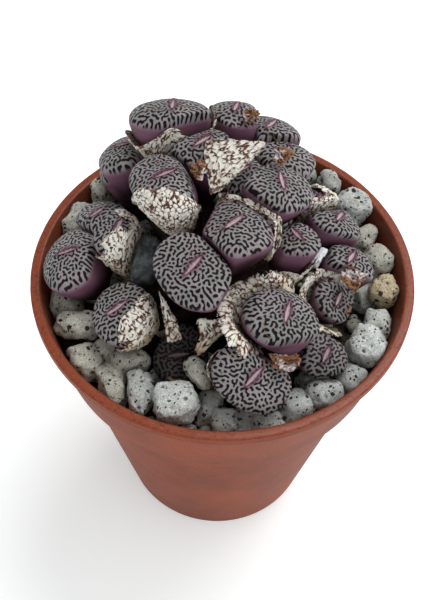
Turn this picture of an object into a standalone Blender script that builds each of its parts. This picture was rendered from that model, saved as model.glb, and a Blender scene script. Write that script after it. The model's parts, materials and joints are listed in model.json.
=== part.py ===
"""A potted conophytum: a clump of mottled leaf pairs with papery old sheaths, in a plain tapered pot.

World axes: +Z up, the origin at the centre of the pot's underside, the best side of the clump to -Y.
Each loose or soft piece is modelled at its full size first. It is then pressed back from the pieces
beside it, so that neighbours meet along a shared face with a small gap.
"""

import math
import random
from dataclasses import dataclass, field

import bmesh
import bpy
import numpy as np
from mathutils import Matrix, Vector

MM = 0.001
GAP = 0.3 * MM

# Pot
POT_HEIGHT = 68 * MM
RIM_RADIUS = 35 * MM
WALL = 1.1 * MM
LIP_DEPTH = 1.8 * MM
LIP_OVERHANG = 0.7 * MM
COLLAR_DEPTH = 16.4 * MM
COLLAR_FOOT_RADIUS = 31.5 * MM
BODY_TOP_RADIUS = 29.7 * MM
BASE_RADIUS = 21 * MM
FLOOR_UNDERSIDE = 1.0 * MM
FLOOR_THICKNESS = 1.5 * MM
FOOT_WIDTH = 2.8 * MM
CORNER = 0.4 * MM
POT_SIDES = 40
DRAIN_HOLES = 6
DRAIN_SIDES = 10
DRAIN_RADIUS = 2.3 * MM
DRAIN_CIRCLE = 11 * MM

# Potting mix, gravel and rootstock
MIX_TOP = 57.5 * MM
BED_TOP = 59.8 * MM
BED_INNER_RADIUS = 20 * MM
BED_SHOULDER = 4 * MM
BED_SIDES = 32
STONE_ROOT = 1.2 * MM
CROWN = Vector((0, -1 * MM, 61.5 * MM))
CROWN_RADIUS = 7 * MM
TAPROOT_SIDES = 16
TAPROOT_TIP = 34 * MM
BRANCH_SIDES = 5
BRANCH_START = 3.5 * MM
BRANCH_ROOT_RADIUS = 1.6 * MM
BRANCH_TIP_RADIUS = 1.2 * MM
BRANCH_OUTER_PART = 0.7

# Leaf pairs
LEAF_SIDES = 12
DOME_PART = 0.45
DOME_HEIGHT = 0.42
BASE_SHARE = 0.38
CLEFT_SHARE = 0.34
DOME_STATIONS = (0.2, 0.32, 0.45)
SIDE_STATIONS = (0.6, 0.8, 1.0)

# Sheaths
SHEATH_THICKNESS = 0.65 * MM
SHEATH_LIFT = 0.55 * MM
STATION_A_ROW = 0.16
DEGREES_A_COLUMN = 18
TEAR = 0.06
HIGHEST_STATION = 0.03
SHEET_COLUMNS = 5

# Dried flowers
PETALS = 5

COLOURS = {
    "terracotta": ((0.33, 0.085, 0.04, 1), 0.5),
    "potting mix": ((0.012, 0.009, 0.007, 1), 0.95),
    "rootstock": ((0.11, 0.06, 0.035, 1), 0.85),
    "leaf": ((0.16, 0.13, 0.13, 1), 0.55),
    "sheath": ((0.62, 0.55, 0.45, 1), 0.85),
    "dried flower": ((0.34, 0.14, 0.05, 1), 0.8),
    "pumice": ((0.5, 0.5, 0.46, 1), 0.95),
    "slate": ((0.07, 0.09, 0.11, 1), 0.6),
    "quartz": ((0.75, 0.77, 0.78, 1), 0.35),
    "buff": ((0.55, 0.45, 0.32, 1), 0.95),
}


@dataclass(frozen=True)
class LeafPair:
    """One mottled head: its place, the size of its face, and how it stands. Millimetres and degrees."""

    x: float
    y: float
    top: float
    along: float
    across: float
    cleft: float
    lean: float
    toward: float
    length: float = 12

    def frame(self):
        """The head's own axes: X along the cleft, Z out of the face, the origin at the face's middle."""
        lean = math.radians(self.lean)
        toward = math.radians(self.toward)
        out = Vector((math.sin(lean) * math.cos(toward), math.sin(lean) * math.sin(toward), math.cos(lean)))
        turn = math.radians(self.cleft)
        cleft = Vector((math.cos(turn), math.sin(turn), 0))
        side = out.cross(cleft).normalized()
        frame = Matrix((side.cross(out), side, out)).transposed().to_4x4()
        frame.translation = Vector((self.x, self.y, self.top)) * MM
        return frame

    def surface(self, bearing, station, lift=0.0):
        """A world point on the skin. Station 0 is the face's middle and 1 is the root end."""
        half_along = self.along / 2 * MM
        half_across = self.across / 2 * MM
        dome = DOME_HEIGHT * (half_along + half_across) / 2
        if station <= DOME_PART:
            angle = station / DOME_PART * math.pi / 2
            share = math.sin(angle) ** 0.9
            outward = math.sin(angle) * lift
            depth = dome * (1 - math.cos(angle)) - lift * math.cos(angle)
        else:
            down = (station - DOME_PART) / (1 - DOME_PART)
            share = 1 - (1 - BASE_SHARE) * down**1.6
            outward = lift
            depth = dome + (self.length * MM - dome) * down
        angle = math.radians(bearing - self.cleft)
        local = Vector(
            (
                (share * half_along + outward) * math.cos(angle),
                (share * half_across + outward) * math.sin(angle),
                -depth,
            )
        )
        return self.frame() @ local


LEAF_PAIRS = {
    "01": LeafPair(-10, 19, 90, along=12, across=16, cleft=90, lean=19, toward=95, length=14),
    "02": LeafPair(1.2, 23, 86.5, along=10, across=11.5, cleft=80, lean=18, toward=90, length=13),
    "03": LeafPair(7.8, 21.5, 84, along=10, across=12, cleft=60, lean=15, toward=70, length=13),
    "04": LeafPair(10.8, 15, 83.5, along=10, across=12, cleft=80, lean=12, toward=20, length=13),
    "05": LeafPair(9.5, 5.4, 86.3, along=11.5, across=13.5, cleft=100, lean=18, toward=5, length=13),
    "06": LeafPair(-4.4, 12.4, 88, along=12, across=13.5, cleft=45, lean=4, toward=110, length=13),
    "07": LeafPair(-19.6, 17, 81.5, along=10, across=12, cleft=-8, lean=26, toward=140),
    "08": LeafPair(-10.4, 4.2, 88, along=12.5, across=15.5, cleft=30, lean=6, toward=150, length=14),
    "09": LeafPair(1.5, -4.9, 87, along=11.5, across=15, cleft=45, lean=4, toward=100, length=14),
    "10": LeafPair(-4.8, -12, 84, along=12.8, across=15.2, cleft=52, lean=18, toward=-105, length=16),
    "11": LeafPair(12.4, -1.6, 80.4, along=9.5, across=10.5, cleft=125, lean=5, toward=60, length=13),
    "12": LeafPair(20.6, 6.4, 76.5, along=10, across=11, cleft=60, lean=26, toward=20),
    "13": LeafPair(22.8, -0.5, 73.5, along=9.5, across=11, cleft=60, lean=20, toward=5, length=11),
    "14": LeafPair(21, -7.6, 71, along=8, across=9, cleft=70, lean=24, toward=-30, length=9),
    "15": LeafPair(10.9, -16.2, 78, along=12, across=14, cleft=78, lean=14, toward=0, length=14),
    "16": LeafPair(5.8, -25.8, 73, along=13, across=14.5, cleft=57, lean=34, toward=-75),
    "17": LeafPair(18.1, -19, 70, along=8.5, across=9.5, cleft=70, lean=26, toward=-50, length=9),
    "18": LeafPair(-27.6, -2.2, 74, along=12.5, across=14.5, cleft=5, lean=24, toward=175, length=11),
    "19": LeafPair(-18.4, -0.6, 79.4, along=10, across=12.5, cleft=70, lean=10, toward=180, length=13),
    "20": LeafPair(-17.7, -14, 74, along=11, across=12.5, cleft=28, lean=22, toward=-160),
    "21": LeafPair(-7.2, -18.4, 67, along=10, across=12, cleft=10, lean=26, toward=-110, length=8),
    "22": LeafPair(-23.2, 6.3, 75, along=9, across=11, cleft=40, lean=18, toward=150),
    "23": LeafPair(17.2, 9.6, 78, along=6.5, across=8, cleft=60, lean=12, toward=20, length=11),
    "24": LeafPair(2.6, 9.4, 84.5, along=9, across=11, cleft=30, lean=0, toward=0),
    "25": LeafPair(-20.5, 20.5, 74, along=10, across=12, cleft=45, lean=30, toward=135),
    "26": LeafPair(-11, 27, 76, along=10, across=13, cleft=110, lean=30, toward=105),
    "27": LeafPair(-0.5, 28, 75, along=10, across=12, cleft=95, lean=30, toward=90),
    "28": LeafPair(9.2, 26.5, 73.5, along=9.5, across=11.5, cleft=70, lean=28, toward=70, length=11),
}


@dataclass(frozen=True)
class Sheath:
    """The dried skin of last year round one leaf pair. Its torn edge is given by stations."""

    pair: str
    start: float
    end: float
    tops: tuple
    foot: float = 0.88
    flare: float = 0.3


SHEATHS = {
    "01": Sheath("01", -190, 45, (0.60, 0.54, 0.62, 0.56, 0.38, 0.60, 0.60, 0.44, 0.22, 0.6), flare=1.1),
    "05": Sheath("08", -160, -20, (0.5, 0.14, 0.17, 0.13, 0.16, 0.2, 0.6), foot=0.95, flare=0.1),
    "06": Sheath("09", -5, 125, (0.55, 0.32, 0.42, 0.28, 0.4, 0.28, 0.55), foot=0.75, flare=1.5),
    "07": Sheath("11", -155, -10, (0.7, 0.58, 0.54, 0.60, 0.50, 0.66), foot=0.92, flare=0.9),
    "08": Sheath("14", 40, 295, (0.5, 0.36, 0.42, 0.32, 0.42, 0.34, 0.42, 0.34, 0.55), foot=0.85, flare=2.4),
    "09": Sheath("15", 70, 240, (0.5, 0.38, 0.44, 0.36, 0.44, 0.38, 0.55), foot=0.85, flare=3.2),
    "10": Sheath("16", 145, 215, (0.6, 0.42, 0.6), foot=0.8, flare=0.2),
    "11": Sheath("19", -150, 120, (0.5, 0.04, 0.05, 0.04, 0.06, 0.04, 0.05, 0.5), foot=0.9, flare=0.3),
    "12": Sheath("20", -115, 55, (0.6, 0.18, 0.1, 0.12, 0.16, 0.6), foot=0.8, flare=0.1),
    "13": Sheath("23", -200, 140, (0.2, 0.03, 0.04, 0.03, 0.05, 0.2), foot=0.9, flare=0.1),
}


@dataclass(frozen=True)
class TornSheet:
    """A loose piece of old sheath. Each row is (height, left edge, right edge) in its own plane."""

    x: float
    y: float
    z: float
    lean: float
    toward: float
    bulge: float
    rows: tuple


TORN_SHEETS = {
    "02": TornSheet(
        -0.8, 6.6, 88.0, lean=28, toward=-95, bulge=1.8,
        rows=((-6.6, -3.2, 0.2), (-4.0, -2.8, 2.4), (-1.4, -3.2, 4.2),
              (0.8, -4.6, 5.4), (3.0, -6.8, 6.8), (4.8, -3.8, 7.4)),
    ),
    "03": TornSheet(
        -8.8, -15.4, 74.5, lean=50, toward=-70, bulge=0.5,
        rows=((-4.8, -2.0, 1.8), (-1.6, -1.5, 1.3), (1.6, -1.4, 1.3), (4.6, -1.5, 0.5)),
    ),
    "04": TornSheet(
        -0.4, -18.6, 72.4, lean=48, toward=-90, bulge=0.9,
        rows=((-3.2, -4.0, 1.2), (-1.4, -3.8, 3.0), (0.6, -2.6, 3.2), (2.4, -4.2, 3.4), (4.0, -3.4, 1.0)),
    ),
}


@dataclass(frozen=True)
class DriedFlower:
    """A withered flower: crumpled petals round a small middle."""

    x: float
    y: float
    z: float
    size: float
    lean: float
    toward: float


DRIED_FLOWERS = {
    "01": DriedFlower(-5, 6.2, 86.2, size=5.0, lean=30, toward=-90),
    "02": DriedFlower(9.6, 10.2, 86.6, size=4.6, lean=25, toward=-60),
    "03": DriedFlower(3.9, 19.8, 86.4, size=4.2, lean=15, toward=-90),
    "04": DriedFlower(10.4, -21.8, 73.6, size=6, lean=40, toward=-80),
    "05": DriedFlower(22.6, -5.0, 72.8, size=5, lean=20, toward=-60),
}


@dataclass(frozen=True)
class Stone:
    """One rounded, uneven stone. Its sizes are its length, width and height."""

    x: float
    y: float
    z: float
    length: float
    width: float
    height: float
    turn: float = 0
    tip: float = 0


LOOSE_STONES = {
    "slate_chip": ("slate", Stone(-13.9, -3.4, 74, 9.6, 6.8, 5.6, turn=75, tip=-25)),
    "quartz_chip": ("quartz", Stone(16.6, -0.6, 72.8, 4.8, 3.4, 3.6, turn=60)),
    "buff_stone": ("buff", Stone(29.8, -1.5, 64.4, 6.2, 5.4, 6.0, turn=30)),
    "pumice_01": ("pumice", Stone(-6.9, -26.4, 64.3, 8.2, 7.6, 7.8, turn=20)),
    "pumice_02": ("pumice", Stone(-3.6, -21.8, 66.4, 7.0, 4.2, 4.8, turn=-55)),
    "pumice_03": ("pumice", Stone(25.6, -14.2, 65, 7.8, 7.0, 7.4, turn=-20)),
    "pumice_04": ("pumice", Stone(24.8, 17.4, 66.2, 7.4, 6.8, 7.4, turn=40)),
    "pumice_05": ("pumice", Stone(-28.2, 12, 65, 8.2, 6.0, 6.4, turn=70)),
    "pumice_06": ("pumice", Stone(-25.6, -11.6, 64.2, 8.2, 5.6, 5.8, turn=-10)),
    "pumice_07": ("pumice", Stone(-13.6, -24.3, 63.4, 9.0, 4.9, 5.6, turn=-80)),
}

BED_STONES = (
    Stone(-24.6, 19.6, 65, 6.0, 5.2, 7.5, turn=120),
    Stone(-20, 23.2, 65, 7.6, 5.0, 7.5, turn=40),
    Stone(-28.6, -5.6, 62.8, 6.6, 6.0, 6.0, turn=10),
    Stone(-23.6, -18, 62.8, 7.4, 5.8, 6.0, turn=-60),
    Stone(-15.6, -17.8, 63.2, 7.0, 5.6, 6.4, turn=30),
    Stone(-20, -15.4, 62.2, 5.4, 5.0, 5.4),
    Stone(-18.4, -22.4, 62.8, 7.6, 4.8, 5.6, turn=-70),
    Stone(-1.8, -25.6, 62.2, 6.2, 5.6, 5.6, turn=50),
    Stone(1.4, -28.6, 62.8, 5.4, 5.0, 5.4),
    Stone(8.4, -28.2, 61.8, 6.8, 5.2, 5.2),
    Stone(13.6, -25.4, 62.6, 6.6, 5.8, 5.8, turn=20),
    Stone(18.2, -23.2, 63.6, 6.6, 6.0, 6.6, turn=35),
    Stone(23.4, -19.4, 62.8, 6.4, 5.2, 5.8, turn=50),
    Stone(28.6, -7.6, 62.6, 7.2, 5.4, 6.0, turn=80),
    Stone(29.4, 6, 64, 6.4, 5.8, 7.2, turn=90),
    Stone(26.8, 11.8, 63.4, 6.4, 5.6, 6.4, turn=60),
    Stone(20.6, 24.4, 65, 5.6, 5.0, 7.6, turn=130),
    Stone(15.4, 27, 64.4, 6.2, 5.6, 7.2, turn=20),
    Stone(-30, 4.4, 62.6, 6.4, 5.2, 6.0, turn=80),
)
UNDER_STONES = 8
UNDER_RING_RADIUS = 26
UNDER_STONE_Z = 61.2


@dataclass
class Piece:
    """A loose or soft body, and what it needs to know to be pressed back from its neighbours."""

    name: str
    body: bpy.types.Object
    owner: str
    claim: np.ndarray
    give: float = 1.0
    margin: float = GAP / 2
    sheath: bool = False
    bunch: str = ""
    petals: list = field(default_factory=list)
    walls: list = field(default_factory=list)


def clear_scene():
    """Removes whatever the scene holds."""
    for thing in list(bpy.data.objects):
        bpy.data.objects.remove(thing)


def new_collection(name):
    """A collection of this name in the scene."""
    made = bpy.data.collections.new(name)
    bpy.context.scene.collection.children.link(made)
    return made


def material(name):
    """The Principled material of this name, made once."""
    found = bpy.data.materials.get(name)
    if found:
        return found
    colour, roughness = COLOURS[name]
    made = bpy.data.materials.new(name)
    made.use_nodes = True
    shader = made.node_tree.nodes["Principled BSDF"]
    shader.inputs["Base Color"].default_value = colour
    shader.inputs["Roughness"].default_value = roughness
    shader.inputs["Metallic"].default_value = 0.0
    made.diffuse_color = colour
    return made


def object_from(shape, name, finish, collection):
    """A smooth-shaded object from a bmesh, which is freed."""
    mesh = bpy.data.meshes.new(name)
    shape.to_mesh(mesh)
    shape.free()
    mesh.shade_smooth()
    mesh.materials.append(material(finish))
    made = bpy.data.objects.new(name, mesh)
    collection.objects.link(made)
    return made


def bake(body):
    """Replaces the object's mesh by its evaluated one, and drops its modifiers."""
    bpy.context.view_layer.update()
    graph = bpy.context.evaluated_depsgraph_get()
    mesh = bpy.data.meshes.new_from_object(body.evaluated_get(graph))
    body.modifiers.clear()
    body.data = mesh


def fuse(body, others, solver="EXACT"):
    """Joins the others to the body by one Boolean union, then removes them."""
    group = new_collection(body.name + " repeats")
    for other in others:
        group.objects.link(other)
    join = body.modifiers.new("Join", "BOOLEAN")
    join.operation = "UNION"
    join.operand_type = "COLLECTION"
    join.collection = group
    join.solver = solver
    bake(body)
    fill_hollows(body)
    for other in others:
        bpy.data.objects.remove(other)
    bpy.data.collections.remove(group)


def fill_hollows(body):
    """Keeps the largest shell of the mesh, so that a hollow which joining has sealed is filled."""
    shape = bmesh.new()
    shape.from_mesh(body.data)
    left = set(shape.faces)
    shells = []
    while left:
        shell = set()
        edge_of_shell = [left.pop()]
        while edge_of_shell:
            face = edge_of_shell.pop()
            shell.add(face)
            beside = {other for edge in face.edges for other in edge.link_faces} & left
            left -= beside
            edge_of_shell.extend(beside)
        shells.append(shell)
    shells.sort(key=len)
    for shell in shells[:-1]:
        bmesh.ops.delete(shape, geom=list(shell), context="FACES")
    shape.to_mesh(body.data)
    shape.free()


def turned(name, profile, sides, finish, collection, ring=False):
    """Turns (radius, height) points about Z. They run down the outer side. A ring's profile is closed."""
    shape = bmesh.new()
    points = [shape.verts.new((radius, 0, height)) for radius, height in profile]
    for first, second in zip(points, points[1:]):
        shape.edges.new((first, second))
    if ring:
        shape.edges.new((points[-1], points[0]))
    made = object_from(shape, name, finish, collection)
    screw = made.modifiers.new("Turn", "SCREW")
    screw.axis = "Z"
    screw.steps = sides
    screw.render_steps = sides
    screw.use_merge_vertices = True
    screw.merge_threshold = 0.01 * MM
    return made


def loft(rings):
    """A closed bmesh through rings of points, each ring with the same count."""
    shape = bmesh.new()
    rows = [[shape.verts.new(point) for point in ring] for ring in rings]
    count = len(rows[0])
    for upper, lower in zip(rows, rows[1:]):
        for i in range(count):
            after = (i + 1) % count
            shape.faces.new((upper[i], lower[i], lower[after], upper[after]))
    shape.faces.new(rows[0])
    shape.faces.new(list(reversed(rows[-1])))
    return shape


def inner_radius(height):
    """The radius of the pot's inner wall at a height within the collar."""
    foot = POT_HEIGHT - COLLAR_DEPTH + WALL
    low = COLLAR_FOOT_RADIUS - WALL
    high = RIM_RADIUS - LIP_OVERHANG - WALL
    share = (min(height, POT_HEIGHT) - foot) / (POT_HEIGHT - foot)
    return low + (high - low) * share


def build_pot(parts, cutters):
    """The tapered pot: a lip, a deep collar, the body, and a floor on a narrow ring with drain holes."""
    collar_foot = POT_HEIGHT - COLLAR_DEPTH
    floor = FLOOR_UNDERSIDE + FLOOR_THICKNESS
    collar_top_radius = RIM_RADIUS - LIP_OVERHANG
    foot_inner = BASE_RADIUS - FOOT_WIDTH
    profile = (
        (0, floor),
        (BASE_RADIUS - WALL - 2 * CORNER, floor),
        (BASE_RADIUS - WALL, floor + 2 * CORNER),
        (BODY_TOP_RADIUS - WALL, collar_foot - CORNER),
        (COLLAR_FOOT_RADIUS - WALL, collar_foot + WALL),
        (collar_top_radius - WALL, POT_HEIGHT - CORNER),
        (collar_top_radius - WALL + CORNER, POT_HEIGHT),
        (RIM_RADIUS - CORNER, POT_HEIGHT),
        (RIM_RADIUS, POT_HEIGHT - CORNER),
        (RIM_RADIUS, POT_HEIGHT - LIP_DEPTH + CORNER),
        (collar_top_radius, POT_HEIGHT - LIP_DEPTH),
        (COLLAR_FOOT_RADIUS, collar_foot + CORNER),
        (COLLAR_FOOT_RADIUS - CORNER, collar_foot),
        (BODY_TOP_RADIUS, collar_foot - CORNER),
        (BASE_RADIUS, 3 * CORNER),
        (BASE_RADIUS - 2 * CORNER, 0),
        (foot_inner, 0),
        (foot_inner, FLOOR_UNDERSIDE),
        (0, FLOOR_UNDERSIDE),
    )
    pot = turned("pot", profile, POT_SIDES, "terracotta", parts)
    for index in range(DRAIN_HOLES):
        angle = math.tau * index / DRAIN_HOLES
        shape = bmesh.new()
        bmesh.ops.create_cone(
            shape,
            cap_ends=True,
            segments=DRAIN_SIDES,
            radius1=DRAIN_RADIUS,
            radius2=DRAIN_RADIUS,
            depth=4 * floor,
        )
        cutter = object_from(shape, f"drain_cutter_{index + 1}", "terracotta", cutters)
        cutter.location = (DRAIN_CIRCLE * math.cos(angle), DRAIN_CIRCLE * math.sin(angle), 0)
        cut_with(pot, cutter)
    return pot


def cut_with(body, cutter):
    """Takes the cutter's shape out of the body with a Boolean modifier."""
    cutter.hide_render = True
    cutter.display_type = "WIRE"
    cut = body.modifiers.new("Cut", "BOOLEAN")
    cut.operation = "DIFFERENCE"
    cut.object = cutter


def taproot_profile(clearance):
    """The crown and taproot from the top down, grown by the clearance."""
    return (
        (0, CROWN.z + 0.72 * CROWN_RADIUS + clearance),
        (0.62 * CROWN_RADIUS + clearance, CROWN.z + 0.52 * CROWN_RADIUS),
        (CROWN_RADIUS + clearance, CROWN.z - 0.3 * CROWN_RADIUS),
        (0.8 * CROWN_RADIUS + clearance, MIX_TOP - 2 * MM),
        (0.45 * CROWN_RADIUS + clearance, MIX_TOP - 12 * MM),
        (0, TAPROOT_TIP - clearance),
    )


def build_potting_mix(parts, cutters):
    """The mix that fills the pot to under the gravel, with a plain hole for the taproot."""
    collar_foot = POT_HEIGHT - COLLAR_DEPTH
    floor = FLOOR_UNDERSIDE + FLOOR_THICKNESS
    profile = (
        (0, MIX_TOP),
        (inner_radius(MIX_TOP) - GAP, MIX_TOP),
        (COLLAR_FOOT_RADIUS - WALL - 1.5 * GAP, collar_foot + WALL + GAP),
        (BODY_TOP_RADIUS - WALL - 1.5 * GAP, collar_foot - CORNER),
        (BASE_RADIUS - WALL - 1.5 * GAP, floor + 2 * CORNER + GAP),
        (BASE_RADIUS - WALL - 2 * CORNER - 2 * GAP, floor + GAP),
        (0, floor + GAP),
    )
    mix = turned("potting_mix", profile, POT_SIDES, "potting mix", parts)
    cutter = turned("taproot_cutter", taproot_profile(GAP), TAPROOT_SIDES, "potting mix", cutters)
    cutter.location.y = CROWN.y
    cut_with(mix, cutter)
    return mix


def leaf_pair_rings(pair):
    """Rings from the floor of the cleft, over its lips and the domed face, down to the root end."""
    frame = pair.frame()
    cleft = CLEFT_SHARE * pair.along / 2 * MM
    lips = (
        (0.85 * cleft, 0.12 * MM, -0.7 * MM),
        (cleft, 0.45 * MM, 0.12 * MM),
        (cleft + 0.6 * MM, 1.1 * MM, -0.06 * MM),
    )
    turns = [math.tau * i / LEAF_SIDES for i in range(LEAF_SIDES)]
    rings = []
    for half_length, half_width, height in lips:
        rings.append(
            [frame @ Vector((half_length * math.cos(t), half_width * math.sin(t), height)) for t in turns]
        )
    for station in DOME_STATIONS + SIDE_STATIONS:
        rings.append([pair.surface(pair.cleft + math.degrees(t), station) for t in turns])
    return rings


def points_of(body):
    """The mesh's vertices in world space."""
    flat = np.empty(len(body.data.vertices) * 3)
    body.data.vertices.foreach_get("co", flat)
    matrix = np.array(body.matrix_world)
    return flat.reshape(-1, 3) @ matrix[:3, :3].T + matrix[:3, 3]


def branch_room(pair):
    """Points round the outer part of the branch that carries a leaf pair, so that stones leave it free."""
    seat = pair.surface(0, 1).lerp(pair.surface(180, 1), 0.5)
    inner = CROWN.lerp(seat, BRANCH_OUTER_PART)
    ring = [Vector(sign).normalized() * BRANCH_ROOT_RADIUS for sign in ((1, 0, 0), (0, 1, 0), (0, 0, 1))]
    return np.array([end + side * way for end in (seat, inner) for side in ring for way in (-1, 1)])


def build_leaf_pair(key, pair, parts):
    """One closed body: the face with its cleft, the sides, and the narrow root end."""
    name = f"leaf_pair_{key}"
    body = object_from(loft(leaf_pair_rings(pair)), name, "leaf", parts)
    return Piece(name, body, owner=name, claim=np.vstack((points_of(body), branch_room(pair))))


def grid_shape(columns, rows, place):
    """An open grid whose points are placed by a function of (u, v), both from 0 to 1."""
    shape = bmesh.new()
    bmesh.ops.create_grid(shape, x_segments=columns, y_segments=rows, size=0.5)
    for point in shape.verts:
        point.co = place(point.co.x + 0.5, point.co.y + 0.5)
    return shape


def thicken(body, offset):
    """Gives the open sheet its paper thickness. Offset 1 adds it all on the outer side."""
    solid = body.modifiers.new("Paper", "SOLIDIFY")
    solid.thickness = SHEATH_THICKNESS
    solid.offset = offset


def build_sheath(key, sheath, parts):
    """An open band that hugs its leaf pair, with a torn upper edge."""
    draw = random.Random(f"sheath {key}")
    pair = LEAF_PAIRS[sheath.pair]
    columns = max(5, round((sheath.end - sheath.start) / DEGREES_A_COLUMN))
    nicks = [draw.uniform(-TEAR, TEAR) for _ in range(columns + 1)]
    marks = np.linspace(0, 1, len(sheath.tops))

    def place(u, v, thickness=0.0):
        bearing = sheath.start + u * (sheath.end - sheath.start)
        nick = nicks[min(columns, round(u * columns))]
        top = max(HIGHEST_STATION, float(np.interp(u, marks, sheath.tops)) + nick)
        station = sheath.foot + (top - sheath.foot) * v
        lift = SHEATH_LIFT + sheath.flare * MM * v * v + thickness
        return pair.surface(bearing, station, lift)

    name = f"sheath_{key}"
    rows = max(3, round((sheath.foot - min(sheath.tops)) / STATION_A_ROW))
    body = object_from(grid_shape(columns, rows, place), name, "sheath", parts)
    outer = [place(u, v, SHEATH_THICKNESS) for u in np.linspace(0, 1, 12) for v in (0, 0.5, 1)]
    thicken(body, 1)
    return Piece(
        name,
        body,
        owner=f"leaf_pair_{sheath.pair}",
        claim=np.array(outer),
        margin=GAP / 2 + SHEATH_THICKNESS,
        sheath=True,
    )


def leaning_frame(x, y, z, lean, toward):
    """Axes at a place in millimetres: Z leans from upright towards a bearing, and X stays level."""
    bearing = math.radians(toward)
    level = Vector((-math.sin(bearing), math.cos(bearing), 0))
    lean = math.radians(lean)
    out = Vector((math.sin(lean) * math.cos(bearing), math.sin(lean) * math.sin(bearing), math.cos(lean)))
    frame = Matrix((level, out.cross(level), out)).transposed().to_4x4()
    frame.translation = Vector((x, y, z)) * MM
    return frame


def build_torn_sheet(key, sheet, parts):
    """A curved sheet between its rows' left and right edges."""
    frame = leaning_frame(sheet.x, sheet.y, sheet.z, sheet.lean, sheet.toward)
    heights, lefts, rights = (np.array(values) for values in zip(*sheet.rows))
    marks = np.linspace(0, 1, len(heights))
    widest = max(rights - lefts)

    def place(u, v):
        left = np.interp(v, marks, lefts)
        right = np.interp(v, marks, rights)
        x = left + u * (right - left)
        depth = -sheet.bulge * (2 * x / widest) ** 2
        return frame @ (Vector((x, np.interp(v, marks, heights), depth)) * MM)

    name = f"sheath_{key}"
    body = object_from(grid_shape(SHEET_COLUMNS, len(sheet.rows) - 1, place), name, "sheath", parts)
    thicken(body, 0)
    half = SHEATH_THICKNESS / 2
    lift = np.array(frame.to_3x3().col[2]) * half
    points = points_of(body)
    claim = np.vstack((points + lift, points - lift))
    return Piece(name, body, owner=name, claim=claim, give=4, margin=GAP / 2 + half)


def build_dried_flower(key, flower, parts):
    """Flat tapering petals round a small middle. They are joined once all of them are in place."""
    draw = random.Random(f"flower {key}")
    frame = leaning_frame(flower.x, flower.y, flower.z, flower.lean, flower.toward)
    size = flower.size * MM
    name = f"dried_flower_{key}"
    shape = bmesh.new()
    bmesh.ops.create_icosphere(shape, subdivisions=1, radius=0.26 * size, matrix=frame)
    body = object_from(shape, name, "dried flower", parts)
    petals = []
    for index in range(PETALS):
        turn = Matrix.Rotation(math.tau * index / PETALS + draw.uniform(-0.3, 0.3), 4, "Z")
        tip = Matrix.Rotation(math.radians(draw.uniform(25, 95)), 4, "Y")
        twist = Matrix.Rotation(draw.uniform(-0.8, 0.8), 4, "Z")
        out = Matrix.Translation((0, 0, 0.34 * size))
        flat = Matrix.Diagonal((0.45, 1, 1, 1))
        shape = bmesh.new()
        bmesh.ops.create_cone(
            shape, cap_ends=True, segments=4, radius1=0.24 * size, radius2=0.1 * size,
            depth=draw.uniform(0.45, 0.62) * size, matrix=frame @ turn @ tip @ out @ twist @ flat,
        )
        petals.append(object_from(shape, f"{name}_petal_{index}", "dried flower", parts))
    claim = np.vstack([points_of(member) for member in [body, *petals]])
    return Piece(name, body, owner=name, claim=claim, give=6, petals=petals)


def stone_body(name, stone, finish, collection, root=None):
    """A rounded block with a seeded uneven surface. A root draws its lower half down to that height."""
    draw = random.Random(name)
    shape = bmesh.new()
    bmesh.ops.create_icosphere(shape, subdivisions=2, radius=1)
    turn = Matrix.Rotation(math.radians(stone.turn), 3, "Z")
    tip = Matrix.Rotation(math.radians(stone.tip), 3, "Y")
    half = Vector((stone.length, stone.width, stone.height)) / 2 * MM
    centre = Vector((stone.x, stone.y, stone.z)) * MM
    for point in shape.verts:
        blocky = Vector([math.copysign(abs(value) ** 0.8, value) for value in point.co])
        uneven = blocky * draw.uniform(0.9, 1.07)
        offset = turn @ tip @ Vector([a * b for a, b in zip(uneven, half)])
        if root is not None and offset.z < 0:
            offset.z *= max(1, (centre.z - root) / half.z)
        point.co = centre + offset
    return object_from(shape, name, finish, collection)


def under_stones():
    """A rule for the lower layer, seen only in the chinks between the stones above it."""
    draw = random.Random(11)
    stones = []
    for index in range(UNDER_STONES):
        bearing = math.tau * (index + draw.uniform(-0.2, 0.2)) / UNDER_STONES
        radius = UNDER_RING_RADIUS + draw.uniform(-1, 2.5)
        sizes = [draw.uniform(4.6, 6.4) for _ in range(3)]
        stones.append(
            Stone(
                radius * math.cos(bearing), radius * math.sin(bearing), UNDER_STONE_Z,
                *sizes, turn=draw.uniform(0, 180),
            )
        )
    return stones


def build_stones(parts):
    """The loose stones, and those that will join the bed."""
    pieces = []
    for name, (finish, stone) in LOOSE_STONES.items():
        body = stone_body(name, stone, finish, parts)
        pieces.append(Piece(name, body, owner=name, claim=points_of(body), give=0.5))
    for index, stone in enumerate(list(BED_STONES) + under_stones()):
        name = f"bed_stone_{index + 1:02d}"
        body = stone_body(name, stone, "pumice", parts, root=BED_TOP - STONE_ROOT)
        pieces.append(
            Piece(name, body, owner=name, claim=points_of(body), give=0.8, bunch="gravel_bed")
        )
    return pieces


def directions(count=700):
    """Unit vectors spread evenly over the sphere."""
    index = np.arange(count) + 0.5
    height = 1 - 2 * index / count
    angle = index * math.pi * (3 - math.sqrt(5))
    ring = np.sqrt(1 - height**2)
    return np.stack((ring * np.cos(angle), ring * np.sin(angle), height), axis=1)


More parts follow.
